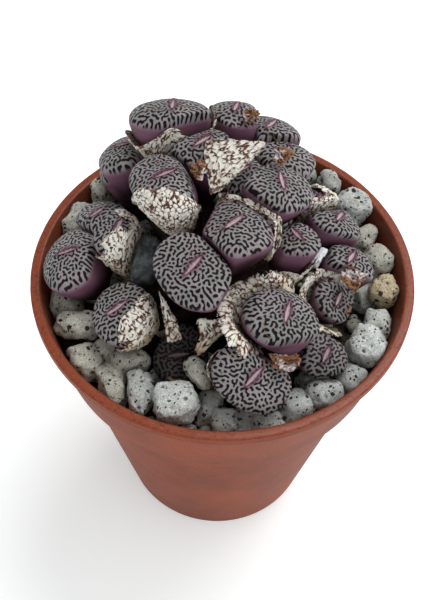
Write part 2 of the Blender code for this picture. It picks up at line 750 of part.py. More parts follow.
def find_walls(pieces):
    """Gives each piece the planes that part it from its neighbours, where they meet or overlap."""
    spread = directions()
    owners = {}
    for piece in pieces:
        owners.setdefault(piece.owner, []).append(piece)
    extents = {}
    for owner, members in owners.items():
        along = np.vstack([member.claim for member in members]) @ spread.T
        extents[owner] = (along.min(axis=0), along.max(axis=0))
    names = list(owners)
    for i, first in enumerate(names):
        for second in names[i + 1 :]:
            one, other = owners[first][0], owners[second][0]
            if one.bunch and one.bunch == other.bunch:
                continue
            overlap = extents[first][1] - extents[second][0]
            best = int(overlap.argmin())
            if overlap[best] < -GAP:
                continue
            share = one.give / (one.give + other.give)
            limit = extents[first][1][best] - overlap[best] * share
            for member in owners[first]:
                member.walls.append((spread[best], limit))
            for member in owners[second]:
                member.walls.append((-spread[best], -limit))
    for members in owners.values():
        make_room_for_sheaths(members)


def make_room_for_sheaths(members):
    """A leaf pair also stays clear of its own sheath, on the sides where the sheath comes between."""
    sheaths = [member for member in members if member.sheath]
    room = SHEATH_THICKNESS + SHEATH_LIFT
    for member in members:
        if member.sheath:
            continue
        held = []
        for normal, limit in member.walls:
            covered = any((sheath.claim @ normal).max() > limit - room for sheath in sheaths)
            held.append((normal, limit - room if covered else limit))
        member.walls = held


def press(piece, body):
    """Moves the body's points that lie beyond a wall back inside it, softly first and then exactly."""
    points = points_of(body)
    for softness in (0.5 * MM, 0.15 * MM):
        for normal, limit in piece.walls:
            beyond = points @ normal - (limit - piece.margin)
            back = beyond + softness * np.logaddexp(0, -beyond / softness)
            points -= np.outer(back, normal)
    for _ in range(12):
        for normal, limit in piece.walls:
            beyond = np.maximum(points @ normal - (limit - piece.margin), 0)
            points -= np.outer(beyond, normal)
        keep_in_pot(points, piece)
    body.data.vertices.foreach_set("co", points.ravel())
    body.data.update()


def keep_in_pot(points, piece):
    """Keeps the points inside the pot's wall and above the bed or the mix."""
    extra = piece.margin - GAP / 2
    reach = np.hypot(points[:, 0], points[:, 1])
    widest = np.array([inner_radius(height) for height in points[:, 2]]) - GAP - extra
    shrink = np.minimum(1, widest / np.maximum(reach, MM))
    points[:, :2] *= shrink[:, None]
    over_bed = (reach > BED_INNER_RADIUS - BED_SHOULDER) & (piece.bunch == "")
    floor = np.where(over_bed, BED_TOP, MIX_TOP) + GAP + extra
    points[:, 2] = np.maximum(points[:, 2], floor)


def build_gravel_bed(pieces, parts):
    """A thin layer of grit that the smaller stones stand out of, as one body."""
    profile = (
        (BED_INNER_RADIUS, BED_TOP),
        (inner_radius(BED_TOP) - GAP, BED_TOP),
        (inner_radius(MIX_TOP) - GAP, MIX_TOP + GAP),
        (BED_INNER_RADIUS, MIX_TOP + GAP),
    )
    bed = turned("gravel_bed", profile, BED_SIDES, "pumice", parts, ring=True)
    fuse(bed, [piece.body for piece in pieces if piece.bunch == "gravel_bed"])


def branch_rings(pair, root_end):
    """The two ends of a branch: a slanted seat just under the leaf pair, and a round end in the crown."""
    out = pair.frame().to_3x3().col[2]
    middle = Vector(root_end.mean(axis=0))
    drop = out.dot(middle) - (root_end @ np.array(out)).min() + GAP
    seat = middle - out * drop
    way = seat - CROWN
    start = CROWN + way.normalized() * BRANCH_START
    ends = ((seat, out, BRANCH_TIP_RADIUS), (start, way, BRANCH_ROOT_RADIUS))
    rings = []
    for centre, facing, radius in ends:
        turn = facing.to_track_quat("Z", "Y")
        rings.append(
            [
                centre + turn @ (Vector((math.cos(t), math.sin(t), 0)) * radius)
                for t in (math.tau * i / BRANCH_SIDES for i in range(BRANCH_SIDES))
            ]
        )
    return rings


def build_rootstock(pieces, parts):
    """The crown and taproot, with a short branch to the root end of each leaf pair."""
    rootstock = turned("rootstock", taproot_profile(0), TAPROOT_SIDES, "rootstock", parts)
    rootstock.location.y = CROWN.y
    branches = []
    for key, pair in LEAF_PAIRS.items():
        body = next(piece.body for piece in pieces if piece.name == f"leaf_pair_{key}")
        shape = loft(branch_rings(pair, points_of(body)[-LEAF_SIDES:]))
        branches.append(object_from(shape, f"branch_{key}", "rootstock", parts))
    fuse(rootstock, branches, solver="MANIFOLD")


def main():
    """Models every piece, presses the loose ones apart, and then joins what grows as one."""
    clear_scene()
    parts = new_collection("potted conophytum")
    cutters = new_collection("cutters")
    build_pot(parts, cutters)
    build_potting_mix(parts, cutters)
    pieces = [build_leaf_pair(key, pair, parts) for key, pair in LEAF_PAIRS.items()]
    pieces += [build_sheath(key, sheath, parts) for key, sheath in SHEATHS.items()]
    pieces += [build_torn_sheet(key, sheet, parts) for key, sheet in TORN_SHEETS.items()]
    pieces += [build_dried_flower(key, flower, parts) for key, flower in DRIED_FLOWERS.items()]
    pieces += build_stones(parts)
    find_walls(pieces)
    for piece in pieces:
        for body in [piece.body, *piece.petals]:
            press(piece, body)
        if piece.petals:
            fuse(piece.body, piece.petals)
    build_gravel_bed(pieces, parts)
    build_rootstock(pieces, parts)


main()
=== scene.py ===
"""The looks of a potted conophytum: mottled leaf pairs in papery old skins, on pumice, in a plastic pot.

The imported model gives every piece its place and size. Each class here dresses one kind of piece: it takes the
node's own mesh, makes it fine and smooth, and gives it its relief, its torn edges and its finish.
"""

import json
import logging
import math
import random
from collections.abc import Callable, Iterable
from dataclasses import dataclass, field
from enum import Enum
from typing import Any

import bmesh
import bpy
import numpy as np
from mathutils import Matrix, Vector, noise
from mathutils.bvhtree import BVHTree
from mathutils.kdtree import KDTree

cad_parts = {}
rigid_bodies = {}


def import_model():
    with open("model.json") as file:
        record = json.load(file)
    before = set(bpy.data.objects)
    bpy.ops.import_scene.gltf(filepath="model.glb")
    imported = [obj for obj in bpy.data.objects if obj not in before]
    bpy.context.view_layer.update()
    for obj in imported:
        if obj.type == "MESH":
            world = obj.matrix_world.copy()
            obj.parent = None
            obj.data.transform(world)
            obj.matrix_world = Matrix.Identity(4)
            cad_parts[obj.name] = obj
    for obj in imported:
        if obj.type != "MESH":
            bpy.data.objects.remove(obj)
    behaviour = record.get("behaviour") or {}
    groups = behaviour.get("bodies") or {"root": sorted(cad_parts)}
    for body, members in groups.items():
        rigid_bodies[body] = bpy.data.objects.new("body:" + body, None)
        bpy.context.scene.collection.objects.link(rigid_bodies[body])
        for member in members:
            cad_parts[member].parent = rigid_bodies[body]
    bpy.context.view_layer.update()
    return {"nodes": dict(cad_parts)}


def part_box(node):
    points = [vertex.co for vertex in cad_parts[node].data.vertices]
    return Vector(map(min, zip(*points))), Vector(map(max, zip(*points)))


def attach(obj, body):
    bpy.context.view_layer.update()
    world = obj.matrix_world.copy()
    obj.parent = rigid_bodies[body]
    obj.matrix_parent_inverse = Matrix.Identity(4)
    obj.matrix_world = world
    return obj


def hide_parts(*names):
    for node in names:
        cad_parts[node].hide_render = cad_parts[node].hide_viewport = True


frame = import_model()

MM = 0.001
BODY = "root"
WELD = 2e-6
PHOTO_HEIGHT = 600
NOISE_SEED = 3
DOWN = Vector((0, 0, -1))
# How high a search for the ground starts, and what it gives where it meets nothing, in millimetres.
SEARCH_TOP = 95
GRAVEL_TOP = 60
# A cell's seed times this gives the cell a number of its own.
SEED_SCALE = 7.3

log = logging.getLogger("conophytum")
Colour = tuple[float, float, float, float]
Shape = bmesh.types.BMesh
Finish = bpy.types.Material


def screen(*values: float) -> Colour:
    """Red, green and blue in screen values from 0 to 255, as the linear colour that shaders take."""
    shares = [value / 255 for value in values]
    return (*(s / 12.92 if s <= 0.04045 else ((s + 0.055) / 1.055) ** 2.4 for s in shares), 1.0)


def operator(name: str, reflected: bool = False) -> Callable[["Value", "Value | float"], "Value"]:
    """Makes a Python operator that adds one Math node.

    Args:
        name: What the node does.
        reflected: Whether the operator's other value comes first.

    Returns:
        The operator, as a method of Value.
    """

    def act(self: "Value", other: "Value | float") -> "Value":
        """Adds the node."""
        inputs = {0: other, 1: self} if reflected else {0: self, 1: other}
        return self.graph.node("ShaderNodeMath", {"operation": name}, inputs)

    return act


class Value:
    """A shader socket that Python's operators act on. Two masks joined by | give the larger of the two."""

    def __init__(self, graph: "Graph", socket: bpy.types.NodeSocket) -> None:
        """Wraps the output socket of one of the graph's nodes."""
        self.graph = graph
        self.socket = socket

    __add__, __radd__ = operator("ADD"), operator("ADD", reflected=True)
    __sub__, __rsub__ = operator("SUBTRACT"), operator("SUBTRACT", reflected=True)
    __mul__, __rmul__ = operator("MULTIPLY"), operator("MULTIPLY", reflected=True)
    __or__, __ror__ = operator("MAXIMUM"), operator("MAXIMUM", reflected=True)

    def step(self, low: float, high: float) -> "Value":
        """A smooth step from 0 at low to 1 at high. With low above high it falls instead.

        Args:
            low: Where the step is 0.
            high: Where the step is 1.

        Returns:
            The step.
        """
        inputs = {"Value": self, "From Min": min(low, high), "From Max": max(low, high)}
        rising = self.graph.node("ShaderNodeMapRange", {"interpolation_type": "SMOOTHSTEP"}, inputs)
        return rising if low < high else 1 - rising


class Graph:
    """One material's nodes, which end in a Principled shader. Its colour is laid on in layers."""

    def __init__(self, name: str) -> None:
        """Starts a material. Its place is the point on the piece, in millimetres.

        Args:
            name: The material's name.
        """
        self.material = bpy.data.materials.new(name)
        self.material.use_nodes = True
        self.tree = self.material.node_tree
        self.place = self.vector("SCALE", self.node("ShaderNodeTexCoord", {}, {}, "Object"), 1 / MM)
        self.colour: object = None

    def feed(self, socket: bpy.types.NodeSocket, value: object) -> None:
        """Links a value to a socket, or sets the socket to a plain number or colour.

        Args:
            socket: The input socket.
            value: The value.
        """
        if isinstance(value, Value):
            self.tree.links.new(value.socket, socket)
        else:
            socket.default_value = value

    def node(self, kind: str, settings: dict, inputs: dict, output: int | str = 0) -> Value:
        """Adds a node.

        Args:
            kind: The node's type.
            settings: Its settings by name.
            inputs: The values of its sockets by name or number.
            output: The output socket that is wanted.

        Returns:
            That output.
        """
        made = self.tree.nodes.new(kind)
        for name, value in settings.items():
            setattr(made, name, value)
        for key, value in inputs.items():
            self.feed(made.inputs[key], value)
        return Value(self, made.outputs[output])

    def vector(self, operation: str, first: Value, second: object) -> Value:
        """Adds a Vector Math node, whose second value is a vector, or a number for SCALE."""
        key = "Scale" if operation == "SCALE" else 1
        return self.node("ShaderNodeVectorMath", {"operation": operation}, {0: first, key: second})

    def mix(self, share: object, first: object, second: object, blend: str = "MIX") -> Value:
        """Mixes two colours, by the share of the second."""
        settings = {"data_type": "RGBA", "blend_type": blend}
        return self.node("ShaderNodeMix", settings, {0: share, 6: first, 7: second}, 2)

    def over(self, share: object, colour: object) -> None:
        """Lays a share of a colour over the colour so far."""
        self.colour = self.mix(share, self.colour, colour)

    def attribute(self, name: str, output: str = "Fac") -> Value:
        """Reads what the mesh holds at its points: Fac for a number, or Vector."""
        return self.node("ShaderNodeAttribute", {"attribute_name": name}, {}, output)

    def noise(
        self,
        scale: float,
        detail: float = 2,
        rough: float = 0.5,
        where: Value | None = None,
        output: str = "Fac",
    ) -> Value:
        """Soft noise around a half. The scale is lumps to a millimetre, the detail their finer layers."""
        inputs = {"Vector": where or self.place, "Scale": scale, "Detail": detail, "Roughness": rough}
        return self.node("ShaderNodeTexNoise", {}, inputs, output)

    def cells(self, scale: float, where: Value | None = None, output: str = "Distance") -> Value:
        """Scattered cells, so many to a millimetre: the Distance from their middles, or the Color of each."""
        return self.node("ShaderNodeTexVoronoi", {}, {"Vector": where or self.place, "Scale": scale}, output)

    def stretched(self, rates: tuple[float, float, float]) -> Value:
        """The place with each side scaled, so that a pattern read there is drawn out."""
        return self.vector("MULTIPLY", self.place, rates)

    def finish(self, sockets: dict[str, object], relief: Value | None = None, depth: float = 0) -> Finish:
        """Feeds the shader with the colour, and with what else is given.

        Args:
            sockets: The values of the shader's other sockets, by name.
            relief: The height that the bump follows.
            depth: How deep the bump is for a height of 1, in millimetres.

        Returns:
            The material.
        """
        inputs = {"Base Color": self.colour, **sockets}
        if relief is not None:
            bump = {"Height": relief, "Distance": depth * MM, "Strength": 1.0}
            inputs["Normal"] = self.node("ShaderNodeBump", {}, bump)
        for name, value in inputs.items():
            self.feed(self.tree.nodes["Principled BSDF"].inputs[name], value)
        return self.material


@dataclass(frozen=True)
class LeafSkin:
    """Grey skin with dark meanders on the face, and smooth dusky mauve down the sides, darkened lower down by
    painted shade.
    """

    ground: Colour = screen(146, 142, 142)
    cool: Colour = screen(132, 137, 132)
    ink: Colour = screen(19, 11, 15)
    halo: Colour = screen(104, 70, 88)
    slit: Colour = screen(98, 52, 74)
    # Painted highlight: the pale colour of the cleft's lips, as if lit.
    lip: Colour = screen(206, 188, 190)
    margin: Colour = screen(134, 106, 122)
    flank: Colour = screen(112, 77, 94)
    # The lower flanks' colour: painted shade deep between the heads.
    root: Colour = screen(54, 32, 42)
    # Near black for painted shade, which falls low in the clump and on heads in shadow.
    dust_and_shade: Colour = screen(22, 17, 16)

    def build(self) -> Finish:
        """Mixes the finish.

        Returns:
            The material.
        """
        graph = Graph("leaf skin")
        skin = graph.attribute("skin", "Vector")
        depth = graph.attribute("depth")
        patch, ragged, streak, fine = (graph.noise(scale, where=skin) for scale in (0.3, 2.2, 4, 8))
        face = (depth + (ragged - 0.5) * 0.4).step(1.04, 0.8)
        away = graph.attribute("fissure") + (ragged - 0.5) * 0.5
        clear = face * away.step(0.4, 0.66)
        bold = graph.attribute("marking") + (patch - 0.5 + ragged - 0.5) * 0.9 + (streak - 0.5) * 0.6
        dots = graph.cells(1.7, skin).step(0.22, 0.1) * 0.8
        inked = (bold.step(-0.14, 0.3) | dots) * clear
        graph.colour = graph.mix(patch.step(0.4, 0.65), self.ground, self.cool)
        graph.over(bold.step(-0.8, 0.0) * clear * 0.4, self.halo)
        graph.over(streak.step(0.45, 0.7) * 0.35, self.margin)
        graph.over(depth.step(0.5, 1.0) * 0.7, self.margin)
        graph.over(away.step(1.8, 0.5) * 0.85, self.halo)
        # Painted shade: the flank darkens towards the root colour further down the sides.
        flank = graph.mix(depth.step(1.2, 2.8), self.flank, self.root)
        flank = graph.mix(depth.step(0.8, 1.2), self.margin, flank)
        graph.colour = graph.mix(face, flank, graph.colour)
        graph.over(inked, self.ink)
        graph.over(away.step(0.75, 0.45) * 0.75, self.slit)
        # Painted highlight: a pale stripe along the cleft's lips.
        graph.over(away.step(0.42, 0.14) * (0.6 + streak * 0.6), self.lip)
        height = graph.node("ShaderNodeSeparateXYZ", {}, {"Vector": graph.place}, "Z")
        # Painted shade: the skin darkens below 71.5 mm, deep in the clump, and on the heads listed as shaded.
        graph.over(height.step(71.5, 63.0) * 0.85 | graph.attribute("dusty"), self.dust_and_shade)
        sockets = {"Roughness": 0.5 + fine * 0.12, "Specular IOR Level": 0.14}
        return graph.finish(sockets, fine * 0.4 - inked * 0.6, 0.04)


@dataclass(frozen=True)
class PaperSkin:
    """Dried skin: chalky puckered cells with red-brown cracks, tan and streaked towards its foot."""

    chalk: Colour = screen(234, 230, 220)
    cream: Colour = screen(206, 190, 162)
    tan: Colour = screen(132, 100, 72)
    crack: Colour = screen(84, 44, 31)
    pit: Colour = screen(48, 27, 22)
    edge: Colour = screen(150, 112, 72)

    def build(self) -> Finish:
        """Mixes the finish.

        Returns:
            The material.
        """
        graph = Graph("papery skin")
        age = graph.attribute("age")
        blotch = graph.noise(0.45)
        fine = graph.noise(5)
        graph.colour = graph.mix((age + (blotch - 0.5) * 1.2).step(0.1, 0.8), self.chalk, self.cream)
        graph.over((age + (fine - 0.5) * 0.6).step(0.8, 1.15), self.tan)
        worn = graph.noise(0.9, 1).step(0.34, 0.52)
        wide = graph.attribute("gap") + (fine - 0.5) * 0.14
        graph.over(wide.step(0.3, 0.12) * worn * 0.35, self.tan)
        foot = age.step(0.62, 0.9)
        line = wide.step(0.18, 0.09) * (1 - foot * 0.8)
        graph.over(line * (0.15 + worn * 0.85), self.crack)
        fibre = graph.noise(3.5, where=graph.stretched((1.0, 1.0, 0.12)))
        graph.over(fibre.step(0.48, 0.66) * foot * 0.55, self.crack)
        graph.over(graph.cells(1.1).step(0.26, 0.18) * blotch.step(0.4, 0.56), self.pit)
        graph.over(graph.attribute("torn") * 0.55, self.edge)
        return graph.finish({"Roughness": 0.88}, fine * 0.4 - line * 0.6, 0.12)


@dataclass(frozen=True)
class Petal:
    """A withered petal: burnt orange to brown, with pale lilac bits."""

    warm: Colour = screen(176, 122, 78)
    brown: Colour = screen(74, 45, 31)
    pale: Colour = screen(220, 210, 212)

    def build(self) -> Finish:
        """Mixes the finish.

        Returns:
            The material.
        """
        graph = Graph("dried petal")
        vein = graph.noise(3.5, 4, 0.65)
        graph.colour = graph.mix(vein.step(0.38, 0.62), self.brown, self.warm)
        graph.over(graph.noise(0.55).step(0.53, 0.62), self.pale)
        return graph.finish({"Roughness": 0.7, "Coat Weight": 0.08}, vein, 0.2)


@dataclass(frozen=True)
class PorousStone:
    """Stone full of small holes, darkened with painted shade."""

    name: str
    light: Colour
    shade: Colour
    # Near black for painted shade in the pores, pits and crevices.
    hole: Colour = screen(14, 13, 12)
    stain: Colour = screen(168, 160, 134)
    # The pores of each size: how many to a millimetre, and the largest radius as a share of a pore's cell.
    pores: tuple[tuple[float, float], ...] = ((0.62, 0.36), (1.5, 0.42))

    def build(self) -> Finish:
        """Mixes the finish.

        Returns:
            The material.
        """
        graph = Graph(self.name)
        grain = graph.noise(3.2, 3, 0.7)
        body = graph.mix(grain.step(0.35, 0.68), self.shade, self.light)
        graph.colour = graph.mix(1.0, body, graph.attribute("tint", "Vector"), "MULTIPLY")
        graph.over(graph.noise(0.3, 1).step(0.58, 0.75) * 0.4, self.stain)
        # Painted shade: fine dark specks stand for shade in small crevices.
        crevice_shade = graph.noise(6, 2, 0.7)
        graph.over(crevice_shade.step(0.5, 0.7) * 0.45, self.hole)
        # Painted shade: the pores are drawn as near-black cells.
        sway = graph.vector("SCALE", graph.noise(1.6, 1, output="Color"), 0.6)
        warped = graph.vector("ADD", graph.place, sway)
        holes = 0.0
        for scale, widest in self.pores:
            width = graph.cells(scale, warped, "Color").step(0.3, 1.0) * widest
            holes = (graph.cells(scale, warped) - width).step(0.01, -0.03) | holes
        holes = holes * graph.noise(0.5, 1).step(0.22, 0.36)
        graph.over(holes * 0.95, self.hole)
        # Painted shade in the stone's pits.
        graph.over(graph.attribute("pit").step(0.25, 1.0) * 0.8, self.hole)
        return graph.finish({"Roughness": 0.93}, (grain - holes) * 0.5 - crevice_shade * 0.3, 0.4)


@dataclass(frozen=True)
class DenseStone:
    """Close-grained stone with pale flecks."""

    name: str
    body: Colour
    cloud: Colour
    fleck: Colour
    roughness: float

    def build(self) -> Finish:
        """Mixes the finish.

        Returns:
            The material.
        """
        graph = Graph(self.name)
        clouds = graph.noise(0.6, 4, 0.6)
        grit = graph.noise(7, 3, 0.7)
        graph.colour = graph.mix(clouds.step(0.38, 0.66), self.body, self.cloud)
        graph.over(grit.step(0.6, 0.72) * 0.8, self.fleck)
        return graph.finish({"Roughness": self.roughness}, grit * 0.4 + clouds, 0.3)


@dataclass(frozen=True)
class PotPlastic:
    """Moulded terracotta-brown plastic: dull, with a shinier lip, faint rubs, streaks and dust."""

    body: Colour = screen(120, 64, 47)
    warm: Colour = screen(146, 74, 51)
    lip: Colour = screen(144, 70, 46)
    rub: Colour = screen(176, 128, 106)
    # Painted shade: the inner wall's colour, a little darker than the outside.
    inside: Colour = screen(112, 62, 46)
    dark: Colour = screen(84, 44, 32)

    def build(self) -> Finish:
        """Mixes the finish.

        Returns:
            The material.
        """
        graph = Graph("terracotta plastic")
        rim = graph.attribute("rim")
        graph.colour = graph.mix(graph.noise(0.07, 5, 0.65).step(0.3, 0.7), self.body, self.warm)
        graph.over(rim, self.lip)
        # Painted shade: the inner wall is darkened.
        graph.over(graph.attribute("inner") * 0.75, self.inside)
        streak = graph.noise(1.0, 3, 0.65, graph.stretched((0.35, 0.35, 4.0)))
        rubbed = streak.step(0.58, 0.72) * graph.noise(0.12).step(0.48, 0.64)
        graph.over(rubbed * 0.5, self.rub)
        grain = graph.noise(3, 3, 0.7)
        soiled = graph.noise(1.6, 4, 0.75).step(0.5, 0.64) * rim
        graph.over(grain.step(0.42, 0.62) * 0.32 | streak.step(0.45, 0.7) * 0.32 | soiled * 0.75, self.dark)
        dust_and_shade = graph.cells(0.35).step(0.06, 0.03) | graph.cells(1.3).step(0.14, 0.06) * rim
        graph.over(dust_and_shade * 0.5, self.rub)
        sockets = {
            "Roughness": 0.42 + grain * 0.12 + rubbed * 0.15,
            "Coat Weight": rim * grain.step(0.35, 0.6) * 0.5,
            "Coat Roughness": 0.22,
            "Specular IOR Level": 0.03,
        }
        return graph.finish(sockets, grain, 0.02)


@dataclass(frozen=True)
class Grit:
    """Dark crumbly matter with paler specks."""

    name: str
    dark: Colour
    brown: Colour
    speck: Colour

    def build(self) -> Finish:
        """Mixes the finish.

        Returns:
            The material.
        """
        graph = Graph(self.name)
        lumps = graph.noise(1.2, 5, 0.7)
        graph.colour = graph.mix(lumps.step(0.4, 0.65), self.dark, self.brown)
        graph.over(graph.cells(1.6).step(0.2, 0.12) * graph.noise(0.7, 1).step(0.5, 0.6) * 0.7, self.speck)
        return graph.finish({"Roughness": 0.95}, lumps, 0.6)


@dataclass(frozen=True)
class Bark:
    """Dry brown bark and fibre, streaked along the stem."""

    # Dark: the bark's own brown, darkened further as painted shade where the crown sits deep between the heads.
    dark: Colour = screen(22, 14, 11)
    light: Colour = screen(84, 58, 40)

    def build(self) -> Finish:
        """Mixes the finish.

        Returns:
            The material.
        """
        graph = Graph("bark")
        streaks = graph.noise(1.0, 4, 0.7, graph.stretched((2.6, 2.6, 0.5)))
        graph.colour = graph.mix(streaks.step(0.4, 0.72), self.dark, self.light)
        return graph.finish({"Roughness": 0.9}, streaks, 0.4)


@dataclass(frozen=True)
class Backdrop:
    """A pale, even studio floor, which shines a little to stay pale."""

    colour: Colour = screen(246, 250, 250)
    lift: float = 0.36

    def build(self) -> Finish:
        """Mixes the finish.

        Returns:
            The material.
        """
        graph = Graph("studio floor")
        graph.colour = self.colour
        roughness = 0.85 + graph.noise(0.02) * 0.1
        sockets = {"Roughness": roughness, "Emission Color": self.colour, "Emission Strength": self.lift}
        return graph.finish(sockets)


class Slot(Enum):
    """The record's material slots."""

    POT = "terracotta_plastic"
    MIX = "potting_mix"
    ROOTSTOCK = "rootstock"
    LEAF = "leaf_skin"
    SHEATH = "dried_sheath"
    PETAL = "dried_petal"
    PUMICE = "pumice"
    BUFF = "buff_pumice"
    SLATE = "slate"
    QUARTZ = "quartz"


def table(**values: Any) -> Any:
    """A dataclass field that starts as this table."""
    return field(default_factory=lambda: dict(values))


def fading(distance: float, reach: float) -> float:
    """1 at no distance, and evenly less, to 0 at the reach and beyond."""
    return max(0.0, 1 - distance / reach)


def somewhere(draw: random.Random, reach: float) -> Vector:
    """A random place, from which a piece reads its noise, so that no two look alike."""
    return Vector([draw.uniform(0, reach) for _ in range(3)])


def nodes_named(start: str) -> list[str]:
    """The CAD nodes whose names start this way, in order."""
    return sorted(name for name in frame["nodes"] if name.startswith(start))


def added(name: str, data: Shape | bpy.types.ID) -> bpy.types.Object:
    """Adds an object to the scene.

    Args:
        name: Its name.
        data: Its lamp or lens, or the shape that becomes its mesh and is used up.

    Returns:
        The object.
    """
    if isinstance(data, Shape):
        shape, data = data, bpy.data.meshes.new(name)
        shape.to_mesh(data)
        shape.free()
    thing = bpy.data.objects.new(name, data)
    bpy.context.scene.collection.objects.link(thing)
    return thing


def evaluated(thing: bpy.types.Object) -> bpy.types.Mesh:
    """An object's mesh after its modifiers."""
    bpy.context.view_layer.update()
    return thing.evaluated_get(bpy.context.evaluated_depsgraph_get()).data


def shape_of(mesh: bpy.types.Mesh, weld: bool = False) -> Shape:
    """Opens a mesh for modelling.

    Args:
        mesh: The mesh.
        weld: Whether its loose triangles are joined.

    Returns:
        The shape.
    """
    shape = bmesh.new()
    shape.from_mesh(mesh)
    if weld:
        bmesh.ops.remove_doubles(shape, verts=shape.verts, dist=WELD)
    return shape


def pair_up(shape: Shape, flat: float = math.radians(40), square: float = math.radians(60)) -> Shape:
    """Joins neighbouring triangles into quads, where they lie flat and square enough.

    Args:
        shape: The shape.
        flat: The largest bend between two triangles.
        square: The largest difference from a quad's right angles.

    Returns:
        The same shape.
    """
    limits = {"angle_face_threshold": flat, "angle_shape_threshold": square}
    bmesh.ops.join_triangles(shape, faces=shape.faces, **limits)
    shape.normal_update()
    return shape


def welded(node: str) -> Shape:
    """A CAD node's mesh with its triangles joined, as quads where they pair up."""
    return pair_up(shape_of(frame["nodes"][node].data, weld=True))


def smoothed(shape: Shape, levels: int, hold: int = 3) -> Shape:
    """Subdivides a shape into a smooth surface that still passes through the shape's own points.

    Args:
        shape: The coarse shape, which is used up.
        levels: How many times each face is split.
        hold: How many times the cage is corrected.

    Returns:
        The fine shape.
    """
    wanted = np.array([point.co for point in shape.verts])
    held = wanted.copy()
    cage = added("cage", shape)
    modifier = cage.modifiers.new("Smooth", "SUBSURF")
    modifier.levels = modifier.render_levels = levels
    for _ in range(hold):
        mesh = evaluated(cage)
        got = np.empty(len(mesh.vertices) * 3, np.float32)
        mesh.vertices.foreach_get("co", got)
        held += wanted - got.reshape(-1, 3)[: len(wanted)]
        cage.data.vertices.foreach_set("co", held.astype(np.float32).ravel())
        cage.data.update()
    fine = shape_of(evaluated(cage))
    bpy.data.objects.remove(cage)
    fine.normal_update()
    return fine


def spun(outline: Iterable[tuple[float, float]], steps: int, cuts: int = 0) -> Shape:
    """Turns an outline round the upright axis.

    Args:
        outline: Its corners as radius and height, in millimetres.
        steps: How many flats the turned shape has.
        cuts: How many times each line of the outline is cut.

    Returns:
        The shape, with its faces outwards.
    """
    shape = bmesh.new()
    points = [shape.verts.new((radius * MM, 0, height * MM)) for radius, height in outline]
    for ends in zip(points, points[1:]):
        shape.edges.new(ends)
    if cuts:
        bmesh.ops.subdivide_edges(shape, edges=shape.edges[:], cuts=cuts)
    bmesh.ops.spin(
        shape, geom=shape.verts[:] + shape.edges[:], cent=(0, 0, 0), axis=(0, 0, 1),
        angle=math.tau, steps=steps, use_merge=True, use_duplicate=False,
    )
    bmesh.ops.remove_doubles(shape, verts=shape.verts, dist=WELD)
    bmesh.ops.recalc_face_normals(shape, faces=shape.faces)
    shape.normal_update()
    return shape


def joined(shapes: Iterable[Shape]) -> Shape:
    """Puts several shapes in one.

    Args:
        shapes: The shapes, which are used up.

    Returns:
        The one shape.
    """
    whole = bmesh.new()
    for shape in shapes:
        mesh = bpy.data.meshes.new("part")
        shape.to_mesh(mesh)
        shape.free()
        whole.from_mesh(mesh)
        bpy.data.meshes.remove(mesh)
    return whole


def clusters(parts: Iterable, beside: Callable[[Any], Iterable]) -> list[list]:
    """Groups the parts of a shape that hang together, in the shape's own order, so that it never changes.

    Args:
        parts: The points or faces.
        beside: Gives the parts that hang on one part.

    Returns:
        The groups.
    """
    left = dict.fromkeys(parts)
    groups = []
    while left:
        group = [next(iter(left))]
        del left[group[0]]
        for part in group:
            for other in beside(part):
                if other in left:
                    del left[other]
                    group.append(other)
        groups.append(group)
    return groups


def shift(shape: Shape, moves: list[Vector]) -> None:
    """Moves each point, by millimetres."""
    for point, move in zip(shape.verts, moves):
        point.co += move * MM


def store(shape: Shape, values: dict[str, list]) -> None:
    """Keeps numbers or vectors at the points, which materials read by name.

    Args:
        shape: The shape.
        values: One value for each point, by the attribute's name.
    """
    for name, row in values.items():
        layers = shape.verts.layers
        layer = (layers.float_vector if isinstance(row[0], Vector) else layers.float).new(name)
        for point, value in zip(shape.verts, row):
            point[layer] = value


def walled(sheet: Shape, thickness: float) -> Shape:
    """Gives an open sheet a thin closed wall, behind its faces.

    Args:
        sheet: The sheet.
        thickness: The wall's thickness in millimetres.

    Returns:
        The same sheet.
    """
    sheet.normal_update()
    layer = sheet.verts.layers.float_vector.new("behind")
    for point in sheet.verts:
        point[layer] = point.normal * thickness * MM
    for part in bmesh.ops.extrude_face_region(sheet, geom=sheet.faces[:], use_keep_orig=True)["geom"]:
        if isinstance(part, bmesh.types.BMVert):
            part.co -= part[layer]
    sheet.verts.layers.float_vector.remove(layer)
    bmesh.ops.recalc_face_normals(sheet, faces=sheet.faces[:])
    sheet.normal_update()
    return sheet


def make_piece(name: str, shape: Shape, finish: Finish, stands_for: tuple[str, ...] = ()) -> None:
    """Makes an object of a shape, and seats it on the part.

    Args:
        name: The piece's name.
        shape: The shape, which is used up.
        finish: Its finish.
        stands_for: The CAD nodes that it replaces.
    """
    piece = added(name, shape)
    piece.data.materials.append(finish)
    piece.data.shade_smooth()
    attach(piece, BODY)
    if stands_for:
        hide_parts(*stands_for)
    piece.data.calc_loop_triangles()
    log.info("%s: %d triangles", name, len(piece.data.loop_triangles))


